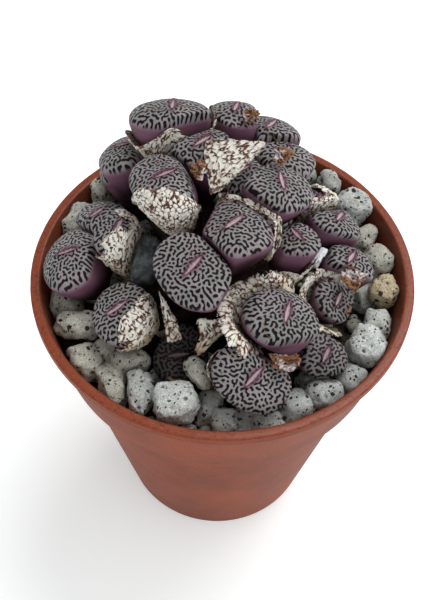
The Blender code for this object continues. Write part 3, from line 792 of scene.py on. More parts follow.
@dataclass
class Pot:
    """The plastic pot, turned from its outline. Sizes are in millimetres."""

    height: float = 68
    rim: float = 35
    wall: float = 1.1
    lip: float = 1.8
    overhang: float = 0.7
    collar: float = 16.4
    collar_foot: float = 31.5
    body_top: float = 29.7
    base: float = 21
    underside: float = 1.0
    floor: float = 1.5
    foot: float = 2.8
    corner: float = 0.4
    sharp: float = math.radians(12)
    steps: int = 180
    drain_holes: int = 6
    drain_radius: float = 2.3
    drain_circle: float = 11
    # How far under the top the rim's looks begin, and how soon they are full.
    rim_start: float = 0.9
    rim_blend: float = 0.7
    inwards: float = -0.3
    nick_depth: float = 0.12
    nick_start: float = 0.25
    nick_sizes: tuple[float, float] = (1.3, 0.5)

    def outline(self) -> list[tuple[float, float]]:
        """The outline from the middle of the floor over the lip and back under the base.

        Returns:
            Its corners as radius and height.
        """
        foot = self.height - self.collar
        floor = self.underside + self.floor
        top = self.rim - self.overhang
        return [
            (0.0, floor),
            (self.base - self.wall, floor),
            (self.body_top - self.wall, foot - self.corner),
            (self.collar_foot - self.wall, foot + self.wall),
            (top - self.wall, self.height),
            (self.rim, self.height),
            (self.rim, self.height - self.lip),
            (top, self.height - self.lip),
            (self.collar_foot, foot),
            (self.body_top, foot - self.corner),
            (self.base, 0.0),
            (self.base - self.foot, 0.0),
            (self.base - self.foot, self.underside),
            (0.0, self.underside),
        ]

    def build(self, finish: Finish) -> None:
        """Turns the pot, rounds its edges and drills its drain holes.

        Args:
            finish: The plastic.
        """
        shape = spun(self.outline(), self.steps)
        sharp = [edge for edge in shape.edges if edge.calc_face_angle(0) > self.sharp]
        bmesh.ops.bevel(
            shape, geom=sharp, offset=self.corner * MM, segments=4, profile=0.5, affect="EDGES", material=-1,
            clamp_overlap=True,
        )
        turned = added("pot_turned", shape)
        drills = added("drills", self.drills())
        cut = turned.modifiers.new("Drain holes", "BOOLEAN")
        cut.operation = "DIFFERENCE"
        cut.object = drills
        pot = shape_of(evaluated(turned))
        bpy.data.objects.remove(turned)
        bpy.data.objects.remove(drills)
        self.mark(pot)
        make_piece("plant_pot", pot, finish, ("pot",))

    def drills(self) -> Shape:
        """The round cutters of the drain holes.

        Returns:
            The shape.
        """
        shape = bmesh.new()
        radius = self.drain_radius * MM
        depth = 4 * (self.underside + self.floor) * MM
        for index in range(self.drain_holes):
            turn = Matrix.Rotation(math.tau * index / self.drain_holes, 4, "Z")
            place = Matrix.Translation(turn @ Vector((self.drain_circle * MM, 0, 0)))
            bmesh.ops.create_cone(
                shape, cap_ends=True, segments=48, radius1=radius, radius2=radius, depth=depth, matrix=place
            )
        return shape

    def mark(self, shape: Shape) -> None:
        """Marks the rim and the inner wall, and makes the rim a little uneven.

        Args:
            shape: The pot's shape.
        """
        shape.normal_update()
        rims, inners = [], []
        coarse, fine = self.nick_sizes
        for point in shape.verts:
            height = point.co.z / MM
            outwards = point.normal.xy.dot(point.co.xy) / max(point.co.xy.length, WELD)
            rims.append(min(1.0, max(0.0, (height - self.height + self.rim_start) / self.rim_blend)))
            inners.append(1.0 if outwards < self.inwards and height > self.floor + self.underside else 0.0)
        for point, rim in zip(shape.verts, rims):
            nick = noise.noise(point.co / (coarse * MM)) + 0.5 * noise.noise(point.co / (fine * MM))
            point.co -= point.normal * rim * max(0.0, nick - self.nick_start) * self.nick_depth * MM
        store(shape, {"rim": rims, "inner": inners})


@dataclass
class Markings:
    """Dark meanders, as grown from seeded noise: a band of wave lengths is kept and sharpened in turns."""

    cells: int = 256
    spacing: float = 0.09
    wave: float = 0.76
    spread: float = 0.72
    turns: int = 4
    sharpness: float = 2.4
    bias: float = 0.25

    def grow(self, seed: int) -> np.ndarray:
        """Grows one square sheet of markings, which repeats at its edges.

        Args:
            seed: The sheet's seed.

        Returns:
            The height at each of the sheet's cells. The markings are where it is large.
        """
        rate = np.fft.fftfreq(self.cells, self.spacing)
        reach = np.hypot(rate[:, None], rate[None, :]) * self.wave
        band = np.exp(-(((reach - 1) / self.spread) ** 2))
        sheet = np.random.default_rng(seed).standard_normal((self.cells, self.cells))
        for _ in range(self.turns):
            sheet = np.fft.ifft2(np.fft.fft2(sheet) * band).real
            sheet = np.tanh(self.sharpness * (sheet / sheet.std() - self.bias))
        sheet = np.fft.ifft2(np.fft.fft2(sheet) * band).real
        return sheet / sheet.std()

    def read(self, sheet: np.ndarray, places: np.ndarray) -> np.ndarray:
        """Reads a sheet between its cells.

        Args:
            sheet: The sheet.
            places: Rows of two coordinates in millimetres.

        Returns:
            The height at each place.
        """
        cell = np.floor(places / self.spacing).astype(int)
        part = places / self.spacing - cell
        total = 0
        for step in ((0, 0), (0, 1), (1, 0), (1, 1)):
            share = np.where(step, part, 1 - part).prod(axis=1)
            row, column = ((cell + step) % self.cells).T
            total = total + share * sheet[row, column]
        return total


@dataclass
class LeafPairs:
    """The mottled heads. Each node's cleft gives the head's own axes. Sizes are in millimetres."""

    levels: int = 3
    longest: float = 0.22
    # How far down the face goes, as a share of the head's mean radius, and how much further unless bare.
    dome: float = 0.42
    cover: float = 1.25
    marked: float = 1.25
    bare: tuple[str, ...] = ("01", "02", "05", "09", "11", "12", "18")
    # How much painted shade each of these heads gets, as they sit in shadow.
    dusty: dict[str, float] = table(leaf_pair_21=0.72, leaf_pair_17=0.3, leaf_pair_14=0.2)
    markings: Markings = field(default_factory=Markings)
    sheet_middle: float = 11.5
    sharp: float = math.radians(35)
    reach: float = 4.0
    floor_depth: float = 0.7
    cleft_share: float = 0.2924
    cleft_width: float = 0.7
    narrowing: float = 0.55
    closed: float = 0.6
    swell: float = 0.1
    swell_size: float = 3.4
    deep: float = 2
    far: float = 9.0

    def cleft_floor(self, shape: Shape) -> list[bmesh.types.BMVert]:
        """The points at the bottom of the cleft, where the surface folds inwards.

        Args:
            shape: The coarse head.

        Returns:
            The points.
        """
        folded = [
            point for point in shape.verts
            if any(edge.calc_face_angle_signed(0) < -self.sharp for edge in point.link_edges)
        ]
        middle = Vector(np.median([point.co for point in folded], axis=0))
        return [point for point in folded if (point.co - middle).length < self.reach * MM]

    def axes(self, shape: Shape) -> Matrix:
        """The head's own axes: X along the cleft, Z out of the face, the origin at the face's middle.

        It also joins the faces at the bottom of the cleft into one, so that they smooth evenly.

        Args:
            shape: The coarse head.

        Returns:
            The frame in the part's space.
        """
        floor = self.cleft_floor(shape)
        faces = [face for face in shape.faces if set(face.verts) <= set(floor)]
        out = sum((face.normal * face.calc_area() for face in faces), Vector()).normalized()
        centre = sum((point.co for point in floor), Vector()) / len(floor)
        cleft = Vector(np.linalg.svd(np.array([point.co - centre for point in floor]))[2][0])
        cleft *= math.copysign(1, cleft.x)
        cleft = (cleft - out * cleft.dot(out)).normalized()
        axes = Matrix((cleft, out.cross(cleft), out)).transposed().to_4x4()
        axes.translation = centre + out * self.floor_depth * MM
        bmesh.ops.dissolve_faces(shape, faces=faces)
        return axes

    def build(self, finish: Finish) -> None:
        """Dresses every head.

        Args:
            finish: The skin.
        """
        for index, name in enumerate(nodes_named("leaf_pair")):
            coarse = welded(name)
            axes = self.axes(coarse)
            fine = smoothed(coarse, self.levels)
            self.dress(fine, axes, index, name)
            make_piece(f"{name}_skin", fine, finish, (name,))

    def dress(self, shape: Shape, axes: Matrix, index: int, name: str) -> None:
        """Marks a head for its finish, makes it a little uneven, and draws its cleft together.

        Args:
            shape: The fine head.
            axes: The head's own axes.
            index: The head's number, which seeds its markings.
            name: Its node.
        """
        offset = somewhere(random.Random(name), 400)
        back = axes.inverted() * (1 / MM)
        along, across = (max(abs((back @ point.co)[axis]) for point in shape.verts) for axis in (0, 1))
        shoulder = self.dome * (along + across) / 2 * (1.0 if name[-2:] in self.bare else self.cover)
        self.refine(shape, back, shoulder * self.marked)
        local = [back @ point.co for point in shape.verts]
        away = [self.from_cleft(point, self.cleft_share * along) for point in local]
        flat = np.array([point.xy * self.unroll(point, (along + across) / 2) for point in local])
        marking = self.markings.read(self.markings.grow(index), flat + self.sheet_middle)
        store(shape, {
            "skin": [point * Vector((1, 1, 0.55)) + offset for point in local],
            "depth": [-point.z / shoulder for point in local],
            "dusty": [self.dusty.get(name, 0)] * len(local),
            "fissure": away,
            "marking": marking.tolist(),
        })
        out = axes.to_3x3().col[2]
        for point, place, distance in zip(shape.verts, local, away):
            swell = noise.noise(point.co / (self.swell_size * MM) + offset)
            point.co += point.normal * swell * self.swell * MM
            if place.z < 0 and distance < self.cleft_width:
                point.co -= out * place.z * self.closed * MM

    def refine(self, shape: Shape, back: Matrix, depth: float) -> None:
        """Splits the long edges of the face, where the markings need fine faces.

        Args:
            shape: The head.
            back: The way from the part's space to the head's own axes.
            depth: How far down the face goes.
        """
        for _ in range(2):
            long = [
                edge for edge in shape.edges
                if edge.calc_length() > self.longest * MM
                and -(back @ ((edge.verts[0].co + edge.verts[1].co) / 2)).z < depth
            ]
            bmesh.ops.subdivide_edges(shape, edges=long, cuts=1, use_grid_fill=True)
        shape.normal_update()

    @staticmethod
    def unroll(point: Vector, radius: float) -> float:
        """How far the markings are drawn together at a point, so that they lengthen towards the margin."""
        return 1.08 - 0.12 * min(1.0, point.xy.length / radius) ** 2

    def from_cleft(self, point: Vector, half: float) -> float:
        """How far a point lies from the cleft.

        Args:
            point: The point in the head's own axes.
            half: Half the cleft's length.

        Returns:
            The distance across the face, longer towards the cleft's narrow ends.
        """
        if point.z < -self.deep:
            return self.far
        taper = 1 - self.narrowing * min(1.0, abs(point.x) / half) ** 2
        return math.hypot(max(0.0, abs(point.x) - half), point.y / taper)


@dataclass
class Sheaths:
    """The papery skins of last year. The outer wall of each node becomes a thin, puckered, torn sheet."""

    crease: float = math.radians(50)
    spacing: float = 0.2
    inset: float = 0.5
    pucker: float = 0.34
    cell: float = 0.85
    warp: float = 0.22
    warp_rate: float = 1.7
    groove: float = 0.45
    thickness: float = 0.13
    tear: float = 0.8
    edge_width: float = 0.5
    wave: float = 0.35
    wave_width: float = 3
    curl_width: float = 2.6
    curls: dict[str, float] = table(sheath_09=1.9, sheath_08=1.3, sheath_06=1.0)
    fresh: dict[str, float] = table(sheath_02=0.3, sheath_03=0.4, sheath_05=0.7)

    def outer_wall(self, shape: Shape) -> None:
        """Leaves only the outer wall of a closed band.

        Args:
            shape: The band.
        """

        def beside(face: bmesh.types.BMFace) -> list[bmesh.types.BMFace]:
            """The faces that go on smoothly from this one."""
            smooth = [e for e in face.edges if len(e.link_faces) == 2 and e.calc_face_angle(0) < self.crease]
            return [other for edge in smooth for other in edge.link_faces]

        walls = clusters(shape.faces, beside)
        outer = set(max(walls, key=lambda wall: sum(face.calc_area() for face in wall)))
        bmesh.ops.delete(shape, geom=[face for face in shape.faces if face not in outer], context="FACES")

    def build(self, finish: Finish) -> None:
        """Dresses every sheath.

        Args:
            finish: The papery skin.
        """
        for name in nodes_named("sheath"):
            sheet = welded(name)
            self.outer_wall(sheet)
            mean_area = sum(face.calc_area() for face in sheet.faces) / MM**2 / len(sheet.faces)
            fine = smoothed(sheet, max(2, round(math.log(mean_area / self.spacing**2, 4))), hold=0)
            offset = somewhere(random.Random(name), 90)
            self.dress(fine, offset, self.curls.get(name, 0), self.fresh.get(name, 1))
            make_piece(f"{name}_paper", walled(fine, self.thickness), finish, (name,))

    def dress(self, sheet: Shape, offset: Vector, roll: float, fade: float) -> None:
        """Puckers the sheet into cells, and tears its edge along them.

        Args:
            sheet: The smooth open sheet.
            offset: Where its noise is read.
            roll: How far its upper edge rolls outwards, in millimetres.
            fade: How old and brown its foot looks, from 0 to 1.
        """
        sheet.verts.index_update()
        border = KDTree(len(sheet.verts))
        for point in sheet.verts:
            if point.is_boundary:
                border.insert(point.co, point.index)
        border.balance()
        heights = [point.co.z for point in sheet.verts]
        lowest, highest = min(heights), max(heights)
        gaps, ages, torns, moves, doomed = [], [], [], [], set()
        sheet.normal_update()
        for point in sheet.verts:
            where = point.co / (self.cell * MM) + offset
            where += Vector(noise.noise_vector(where * self.warp_rate)) * self.warp
            (near, second, *_), (seed, *_) = noise.voronoi(where)
            gap = second - near
            edge = border.find(point.co)[2] / MM
            rise = (point.co.z - lowest) / max(highest - lowest, WELD)
            whim = noise.cell(seed * SEED_SCALE)
            if edge < self.tear * (0.15 + max(0.0, whim)) and gap > 0.02:
                doomed.add(point.index)
            gaps.append(gap)
            ages.append((1 - rise + 0.3 * noise.noise(where * 0.5)) * fade)
            torns.append(fading(edge, self.edge_width) * max(0.0, noise.noise(where * 0.6) + 0.4))
            pillow = (1 - fading(gap, self.groove) ** 2) * (0.6 + 0.4 * whim)
            curl = noise.noise(where * 0.35) * self.wave * fading(edge, self.wave_width)
            rolled = roll * fading(edge, self.curl_width) ** 2 * min(1.0, max(0.0, rise * 3 - 1))
            out = self.pucker * (pillow - 0.5) - self.inset + curl + rolled
            moves.append(point.normal * out + DOWN * rolled * 0.5)
        store(sheet, {"gap": gaps, "age": ages, "torn": torns})
        shift(sheet, moves)
        gone = [face for face in sheet.faces if doomed.issuperset(point.index for point in face.verts)]
        bmesh.ops.delete(sheet, geom=gone, context="FACES")
        loose = [point for point in sheet.verts if not point.link_faces]
        bmesh.ops.delete(sheet, geom=loose, context="VERTS")


@dataclass(frozen=True)
class Spread:
    """How small stones are scattered between an inner and an outer radius. Sizes are in millimetres."""

    count: int
    tries: int
    inner: float
    outer: float
    highest: float
    sizes: tuple[float, float]
    parts: int
    seed: int


@dataclass
class Stones:
    """The gravel: loose stones, those of the bed, and small chips in the chinks. Sizes are in millimetres."""

    bed_top: float = 59.8
    # Once round the grit's section, as radius and height.
    grit_outline: tuple[tuple[float, float], ...] = (
        (20, 57.9), (24, 59.8), (31.4, 59.8), (31.0, 57.8), (20, 57.9)
    )
    grit_steps: int = 200
    grit_cuts: int = 7
    grit_cell: float = 1.1
    grit_rise: float = 0.45
    grit_dip: float = -0.2
    lump: float = 0.55
    lump_rate: float = 0.42
    grain: float = 0.09
    grain_rate: float = 2.3
    pit_cell: float = 1.5
    pit_depth: float = 0.5
    pit_widths: tuple[float, float] = (0.14, 0.26)
    chips: Spread = Spread(150, 4, inner=13, outer=30.6, highest=61.2, sizes=(0.8, 1.6), parts=2, seed=5)
    crumbs: Spread = Spread(420, 3, inner=0, outer=31.0, highest=62.5, sizes=(0.25, 0.6), parts=1, seed=9)

    def roughen(self, stone: Shape, draw: random.Random, pits: float = 1.0) -> Shape:
        """Gives a smooth stone its uneven, pitted surface, and a tint of its own.

        Args:
            stone: The fine shape.
            draw: The stone's own draw.
            pits: How deep its pits are, from 0 to 1.

        Returns:
            The same stone.
        """
        offset = somewhere(draw, 90)
        narrow, spread = self.pit_widths
        warm = draw.uniform(-1, 1)
        light = draw.uniform(0.78, 1.06)
        tint = Vector((light * (1 + 0.04 * warm), light, light * (1 - 0.07 * warm)))
        marks, moves = [], []
        stone.normal_update()
        for point in stone.verts:
            where = point.co / MM
            (near, *_), (seed, *_) = noise.voronoi(where / self.pit_cell + offset)
            widest = narrow + spread * abs(noise.cell(seed * SEED_SCALE))
            pit = fading(near, widest) ** 0.7 * pits
            # The pits' mark, which the finish paints near black as painted shade.
            marks.append(min(1.0, pit * 1.6))
            lump = noise.fractal(where * self.lump_rate + offset, 0.9, 2.1, 4) * self.lump
            grain = noise.noise(where * self.grain_rate + offset) * self.grain
            moves.append(point.normal * (lump + grain - pit * self.pit_depth))
        shift(stone, moves)
        store(stone, {"pit": marks, "tint": [tint] * len(marks)})
        return stone

    def build_loose(self, finishes: dict[str, tuple[Finish, Slot, float]]) -> None:
        """Dresses the loose stones.

        Args:
            finishes: The finish, the slot and the pits' depth from 0 to 1, by the start of a node's name.
        """
        for start, (finish, slot, pits) in finishes.items():
            for name in nodes_named(start):
                stone = self.roughen(smoothed(welded(name), 3), random.Random(name), pits)
                make_piece(f"{name}_stone", stone, finish, (name,))

    def bed_stones(self) -> list[Shape]:
        """Cuts the stones of the bed from its node, just above the grit.

        Returns:
            The stones from left to right.
        """
        bed = shape_of(frame["nodes"]["gravel_bed"].data, weld=True)
        level = Vector((0, 0, (self.bed_top + 0.05) * MM))
        geometry = bed.verts[:] + bed.edges[:] + bed.faces[:]
        bmesh.ops.bisect_plane(bed, geom=geometry, plane_co=level, plane_no=(0, 0, 1), clear_inner=True)
        bmesh.ops.holes_fill(bed, edges=[edge for edge in bed.edges if edge.is_boundary])
        bed.verts.index_update()
        groups = clusters(bed.verts, lambda point: [edge.other_vert(point) for edge in point.link_edges])
        made = []
        for group in sorted(groups, key=lambda group: max(point.co.x for point in group)):
            kept = {point.index for point in group}
            stone = bed.copy()
            stone.verts.index_update()
            gone = [point for point in stone.verts if point.index not in kept]
            bmesh.ops.delete(stone, geom=gone, context="VERTS")
            made.append(pair_up(stone))
        bed.free()
        return made

    def build_bed(self, pumice: Finish, grit: Finish) -> None:
        """Dresses the bed: its stones, and the grit that they lie in.

        Args:
            pumice: The stones' finish.
            grit: The grit's finish.
        """
        stones = [
            self.roughen(smoothed(stone, 2, hold=2), random.Random(f"bed {index}"))
            for index, stone in enumerate(self.bed_stones())
        ]
        make_piece("bed_stones", joined(stones), pumice, ("gravel_bed",))
        layer = spun(self.grit_outline, self.grit_steps, self.grit_cuts)
        for point in layer.verts:
            if point.normal.z > 0.3:
                lump = noise.fractal(point.co / (self.grit_cell * MM), 0.8, 2.2, 4)
                point.co.z += max(self.grit_dip, lump * self.grit_rise) * MM
        make_piece("bed_grit", layer, grit)

    def scatter(self, spread: Spread) -> Shape:
        """Scatters small stones on the ground between the larger ones.

        Args:
            spread: How many they are, how large, and where they may lie.

        Returns:
            All of them in one shape.
        """
        plant = ("leaf_pair", "sheath", "dried", "rootstock")
        trees = [BVHTree.FromBMesh(welded(name)) for name in frame["nodes"] if not name.startswith(plant)]
        draw = random.Random(spread.seed)
        found = []
        for _ in range(spread.count * spread.tries):
            bearing = draw.uniform(0, math.tau)
            radius = math.sqrt(draw.uniform(spread.inner**2, spread.outer**2)) * MM
            top = height_at(trees, radius * math.cos(bearing), radius * math.sin(bearing))
            if top.z < spread.highest * MM:
                found.append((top, random.Random(draw.random())))
        stones = []
        for place, own in found[: spread.count]:
            stones.append(self.pebble(place, own, own.uniform(*spread.sizes), spread.parts))
        return joined(stones)

    def pebble(self, place: Vector, draw: random.Random, radius: float, parts: int) -> Shape:
        """One small uneven stone.

        Args:
            place: The ground under it.
            draw: Its own draw.
            radius: Its mean radius.
            parts: How finely its ball is divided.

        Returns:
            The stone.
        """
        shape = bmesh.new()
        turn, tilt = draw.uniform(0, math.tau), draw.uniform(-0.5, 0.5)
        sides = [draw.uniform(*limits) for limits in ((0.8, 1.35), (0.8, 1.1), (0.6, 0.9))]
        centre = place - DOWN * 0.45 * radius * MM
        spin = Matrix.Rotation(turn, 4, "Z") @ Matrix.Rotation(tilt, 4, "X")
        seat = Matrix.Translation(centre) @ spin @ Matrix.Diagonal((*sides, 1))
        bmesh.ops.create_icosphere(shape, subdivisions=parts, radius=radius * MM, matrix=seat)
        for point in shape.verts:
            point.co += (point.co - centre) * draw.uniform(-0.16, 0.12)
        light = draw.uniform(0.55, 1.0)
        tint = Vector((light, light, light * draw.uniform(0.9, 1.0)))
        count = len(shape.verts)
        store(shape, {"pit": [0.0] * count, "tint": [tint] * count})
        return shape


@dataclass
class DriedFlowers:
    """The withered flowers: crumpled petals inside the room that each node takes."""

    petals: int = 13
    rises: tuple[float, float] = (-0.2, 1.3)
    widths: tuple[float, float] = (0.28, 0.5)
    curls: tuple[float, float] = (-1.2, 1.6)
    crumple: float = 0.28
    thickness: float = 0.12
    # Each petal is held in a little less room than the one before, so that no two lie in one plane.
    layer: float = 0.025

    def build(self, finish: Finish) -> None:
        """Dresses every flower.

        Args:
            finish: The petals' finish.
        """
        for name in nodes_named("dried_flower"):
            draw = random.Random(name)
            low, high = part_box(name)
            room = ((low + high) / 2, (high - low) / 2)
            strips = [self.petal(draw, index, *room) for index in range(self.petals)]
            make_piece(f"{name}_petals", joined(strips), finish, (name,))

    def petal(self, draw: random.Random, index: int, middle: Vector, half: Vector) -> Shape:
        """One crumpled petal.

        Args:
            draw: The flower's own draw.
            index: The petal's number.
            middle: The middle of the flower's room.
            half: Half that room's sides.

        Returns:
            The petal.
        """
        shape = bmesh.new()
        bmesh.ops.create_grid(shape, x_segments=10, y_segments=5, size=0.5)
        turn = math.tau * index / self.petals * 1.9 + draw.uniform(-0.3, 0.3)
        rise, width, curl = (draw.uniform(*limits) for limits in (self.rises, self.widths, self.curls))
        offset = somewhere(draw, 50)
        twist = draw.uniform(-1, 1)
        out = Matrix.Rotation(turn, 3, "Z") @ Matrix.Rotation(-rise, 3, "Y") @ Matrix.Rotation(twist, 3, "X")
        limit = 1 - self.layer * index
        for point in shape.verts:
            along = point.co.x + 0.5
            taper = 0.35 + 0.75 * math.sin(math.pi * min(1, 0.15 + along * 0.9))
            where = Vector((along * 3, point.co.y * 3, index)) + offset
            crumple = Vector(noise.noise_vector(where)) * self.crumple * along
            flat = Vector((0.12 + along * 0.9, point.co.y * width * taper * 2, curl * along**2 * 0.35))
            turned = Vector([max(-limit, min(limit, value)) for value in out @ (flat + crumple)])
            point.co = middle + turned * half + DOWN * half.z * 0.25
        return walled(shape, self.thickness)


def height_at(trees: list[BVHTree], x: float, y: float) -> Vector:
    """Finds what lies on top at a place.

    Args:
        trees: The pieces that are searched.
        x: The place.
        y: The place.

    Returns:
        The point on top, or one at the height of the gravel where nothing lies there.
    """
    hits = [tree.ray_cast(Vector((x, y, SEARCH_TOP * MM)), DOWN)[0] for tree in trees]
    return max((hit for hit in hits if hit), key=lambda hit: hit.z, default=Vector((x, y, GRAVEL_TOP * MM)))


@dataclass
class Litter:
    """Dry scraps and hairs of old skin, over the clump and across its gaps. Sizes are in millimetres."""

    seed: int = 21
    scraps: int = 60
    scrap_tries: int = 4
    scrap_lengths: tuple[float, float] = (1.0, 3.0)
    scrap_widths: tuple[float, float] = (0.2, 0.7)
    scrap_curl: float = 0.3
    hairs: int = 40
    hair_lengths: tuple[float, float] = (3, 8)
    hair_width: float = 0.05
    hair_curl: float = 0.1
    reach: float = 25
    drop: float = 2.2
    gap_top: float = 70
    lift: float = 0.08
    parts: int = 8
    settling: int = 5
    thickness: float = 0.05

    def build(self, finish: Finish, ground: list[bpy.types.Object]) -> None:
        """Scatters all of it.

        Args:
            finish: Its finish.
            ground: The pieces that it lies on.
        """
        graph = bpy.context.evaluated_depsgraph_get()
        trees = [BVHTree.FromObject(piece, graph) for piece in ground]
        draw = random.Random(self.seed)
        strips = []
        for _ in range(self.scraps):
            low = min((self.spot(draw, trees) for _ in range(self.scrap_tries)), key=lambda spot: spot.z)
            if low.z < self.gap_top * MM:
                length, width = draw.uniform(*self.scrap_lengths), draw.uniform(*self.scrap_widths)
                strips.append(self.strip(draw, trees, low, (length, width, self.scrap_curl)))
        for _ in range(self.hairs):
            middle = self.spot(draw, trees)
            length = draw.uniform(*self.hair_lengths)
            strips.append(self.strip(draw, trees, middle, (length, self.hair_width, self.hair_curl)))
        made = joined(strip for strip in strips if strip)
        count = len(made.verts)
        store(made, {"gap": [1.0] * count, "age": [1.3] * count, "torn": [0.3] * count})
        make_piece("dry_litter", made, finish)

    def spot(self, draw: random.Random, trees: list[BVHTree]) -> Vector:
        """A place on top of the clump.

        Args:
            draw: The litter's draw.
            trees: The pieces that are searched.

        Returns:
            The place.
        """
        bearing = draw.uniform(0, math.tau)
        radius = self.reach * math.sqrt(draw.random()) * MM
        return height_at(trees, radius * math.cos(bearing), radius * math.sin(bearing))

    def strip(
        self, draw: random.Random, trees: list[BVHTree], middle: Vector, sizes: tuple[float, float, float]
    ) -> Shape | None:
        """One scrap or hair, laid over what is under it.

        Args:
            draw: The litter's draw.
            trees: The pieces that are searched.
            middle: Its middle.
            sizes: Its length, its width and how far its ends rise.

        Returns:
            The strip, or nothing where the ground falls away under it.
        """
        length, width, curl = sizes
        bearing, bend, twist = draw.uniform(0, math.tau), draw.uniform(-0.6, 0.6), draw.uniform(-0.5, 0.5)
        way = []
        for index in range(self.parts + 1):
            share = index / self.parts - 0.5
            turn = bearing + bend * share * 2
            place = middle.xy + Vector((math.cos(turn), math.sin(turn))) * share * length * MM
            way.append(height_at(trees, *place) - DOWN * (self.lift + curl * share**2 * 4) * MM)
        if max(point.z for point in way) - min(point.z for point in way) > self.drop * MM:
            return None
        for _ in range(self.settling):
            for before, point, after in zip(way, way[1:], way[2:]):
                point.z = max(point.z, (before.z + after.z) / 2)
        shape = bmesh.new()
        bmesh.ops.create_grid(shape, x_segments=self.parts, y_segments=1, size=0.5)
        for point in shape.verts:
            index = round((point.co.x + 0.5) * self.parts)
            along = (way[min(index + 1, self.parts)] - way[max(index - 1, 0)]).normalized()
            side = DOWN.cross(along).normalized() - DOWN * twist
            taper = 1.05 - abs(2 * index / self.parts - 1) ** 2 * 0.8
            point.co = way[index] + side * point.co.y * width * taper * MM
        return walled(shape, self.thickness)


@dataclass
class Rootstock:
    """The crown and its branches, as dry bark. Sizes are in millimetres."""

    ripple: float = 0.15
    ripple_rate: tuple[float, float, float] = (0.9, 0.9, 0.3)

    def build(self, finish: Finish) -> None:
        """Smooths the node, and roughens it as bark.

        Args:
            finish: The bark.
        """
        fine = smoothed(welded("rootstock"), 1, hold=0)
        rate = Vector(self.ripple_rate) / MM
        shift(fine, [point.normal * noise.noise(point.co * rate) * self.ripple for point in fine.verts])
        make_piece("rootstock_bark", fine, finish, ("rootstock",))


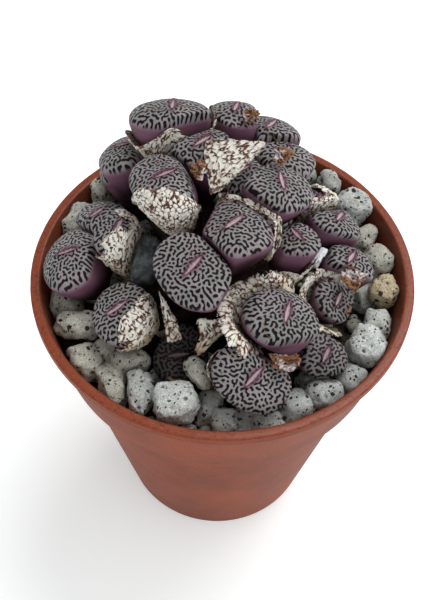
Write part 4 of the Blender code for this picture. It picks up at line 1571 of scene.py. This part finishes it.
@dataclass
class Studio:
    """The floor with its low far wall, the lights and the camera. Sizes are in metres, angles in degrees."""

    floor_radius: float = 6
    floor_steps: int = 96
    cove: float = 1.2
    focal_px: float = 909
    distance: float = 0.1745
    elevation: float = 54.2
    roll: float = 2.3
    target: tuple[float, float, float] = (0.0003, 0.0, 0.0581)
    sensor: float = 36
    nearest: float = 0.005
    sky: float = 0.42
    # Where each soft, distant light stands, how strong it is, and how wide its disc looks.
    lights: dict[str, tuple[tuple[float, float, float], float, float]] = table(
        key=((0.13, 0.16, 0.37), 1.7, 36), side=((0.5, -0.1, 0.26), 1.0, 75)
    )

    def build(self, finish: Finish) -> None:
        """Builds all of it.

        Args:
            finish: The floor's finish.
        """
        shape = bmesh.new()
        bmesh.ops.create_circle(shape, cap_ends=True, segments=self.floor_steps, radius=self.floor_radius)
        rim = [edge for edge in shape.edges if edge.is_boundary]
        raised = bmesh.ops.extrude_edge_only(shape, edges=rim)["geom"]
        wall = [point for point in raised if isinstance(point, bmesh.types.BMVert)]
        bmesh.ops.translate(shape, vec=(0, 0, self.cove), verts=wall)
        bmesh.ops.recalc_face_normals(shape, faces=shape.faces)
        if shape.faces[0].normal.z < 0:
            bmesh.ops.reverse_faces(shape, faces=shape.faces)
        floor = added("studio_floor", shape)
        floor.data.materials.append(finish)
        self.light()
        self.camera()

    def light(self) -> None:
        """Sets an even white sky, and the soft lights, which face the plant."""
        world = bpy.data.worlds.new("soft sky")
        world.use_nodes = True
        sky = world.node_tree.nodes["Background"]
        sky.inputs["Color"].default_value = (1, 1, 1, 1)
        sky.inputs["Strength"].default_value = self.sky
        bpy.context.scene.world = world
        for name, (place, strength, angle) in self.lights.items():
            lamp = bpy.data.lights.new(name, "SUN")
            lamp.energy = strength
            lamp.angle = math.radians(angle)
            made = added(name, lamp)
            made.location = place
            made.rotation_mode = "QUATERNION"
            made.rotation_quaternion = Vector(place).to_track_quat("Z", "Y")

    def camera(self) -> None:
        """Sets the camera at the photo's angle, from which it looks at its target."""
        lens = bpy.data.cameras.new("camera")
        lens.sensor_width = self.sensor
        lens.lens = self.focal_px / PHOTO_HEIGHT * self.sensor
        lens.clip_start = self.nearest
        made = added("camera", lens)
        tilt = Matrix.Rotation(math.radians(90 - self.elevation), 4, "X")
        roll = Matrix.Rotation(math.radians(self.roll), 4, "Z")
        back = Matrix.Translation((0, 0, self.distance))
        made.matrix_world = Matrix.Translation(self.target) @ tilt @ roll @ back
        bpy.context.scene.camera = made


def main() -> None:
    """Builds every sub-assembly in order."""
    logging.basicConfig(level=logging.INFO, format="%(name)s %(message)s")
    bpy.context.scene.view_settings.view_transform = "Standard"
    noise.seed_set(NOISE_SEED)
    pumice = PorousStone("pumice", light=screen(236, 237, 228), shade=screen(188, 190, 182)).build()
    buff = PorousStone("buff pumice", light=screen(226, 214, 188), shade=screen(182, 162, 130)).build()
    slate = DenseStone("slate", screen(40, 45, 48), screen(92, 98, 100), screen(156, 160, 160), 0.6)
    quartz = DenseStone("quartz", screen(214, 218, 224), screen(236, 238, 242), screen(250, 250, 252), 0.35)
    # The potting mix is near black: its own dark colour, darkened further as painted shade in the gaps where it
    # shows.
    soil = Grit("potting mix", screen(10, 8, 7), screen(32, 25, 20), screen(84, 76, 66)).build()
    grit = Grit("grit", screen(26, 22, 18), screen(70, 60, 50), screen(150, 146, 136)).build()
    paper = PaperSkin().build()
    mix = frame["nodes"]["potting_mix"]
    mix.data.materials.clear()
    mix.data.materials.append(soil)
    Pot().build(PotPlastic().build())
    Rootstock().build(Bark().build())
    LeafPairs().build(LeafSkin().build())
    Sheaths().build(paper)
    DriedFlowers().build(Petal().build())
    stones = Stones()
    stones.build_loose({
        "pumice": (pumice, Slot.PUMICE, 1.0),
        "buff_stone": (buff, Slot.BUFF, 0.8),
        "slate_chip": (slate.build(), Slot.SLATE, 0.15),
        "quartz_chip": (quartz.build(), Slot.QUARTZ, 0.0),
    })
    stones.build_bed(pumice, grit)
    make_piece("small_chips", stones.scatter(stones.chips), pumice)
    make_piece("mix_crumbs", stones.scatter(stones.crumbs), grit)
    ground = ("leaf_pair", "sheath", "dried_flower", "pumice", "bed_stones", "bed_grit")
    pieces = [piece for piece in bpy.data.objects if piece.name.startswith(ground) and piece.visible_get()]
    Litter().build(paper, pieces)
    Studio().build(Backdrop().build())


if __name__ == "__main__":
    main()
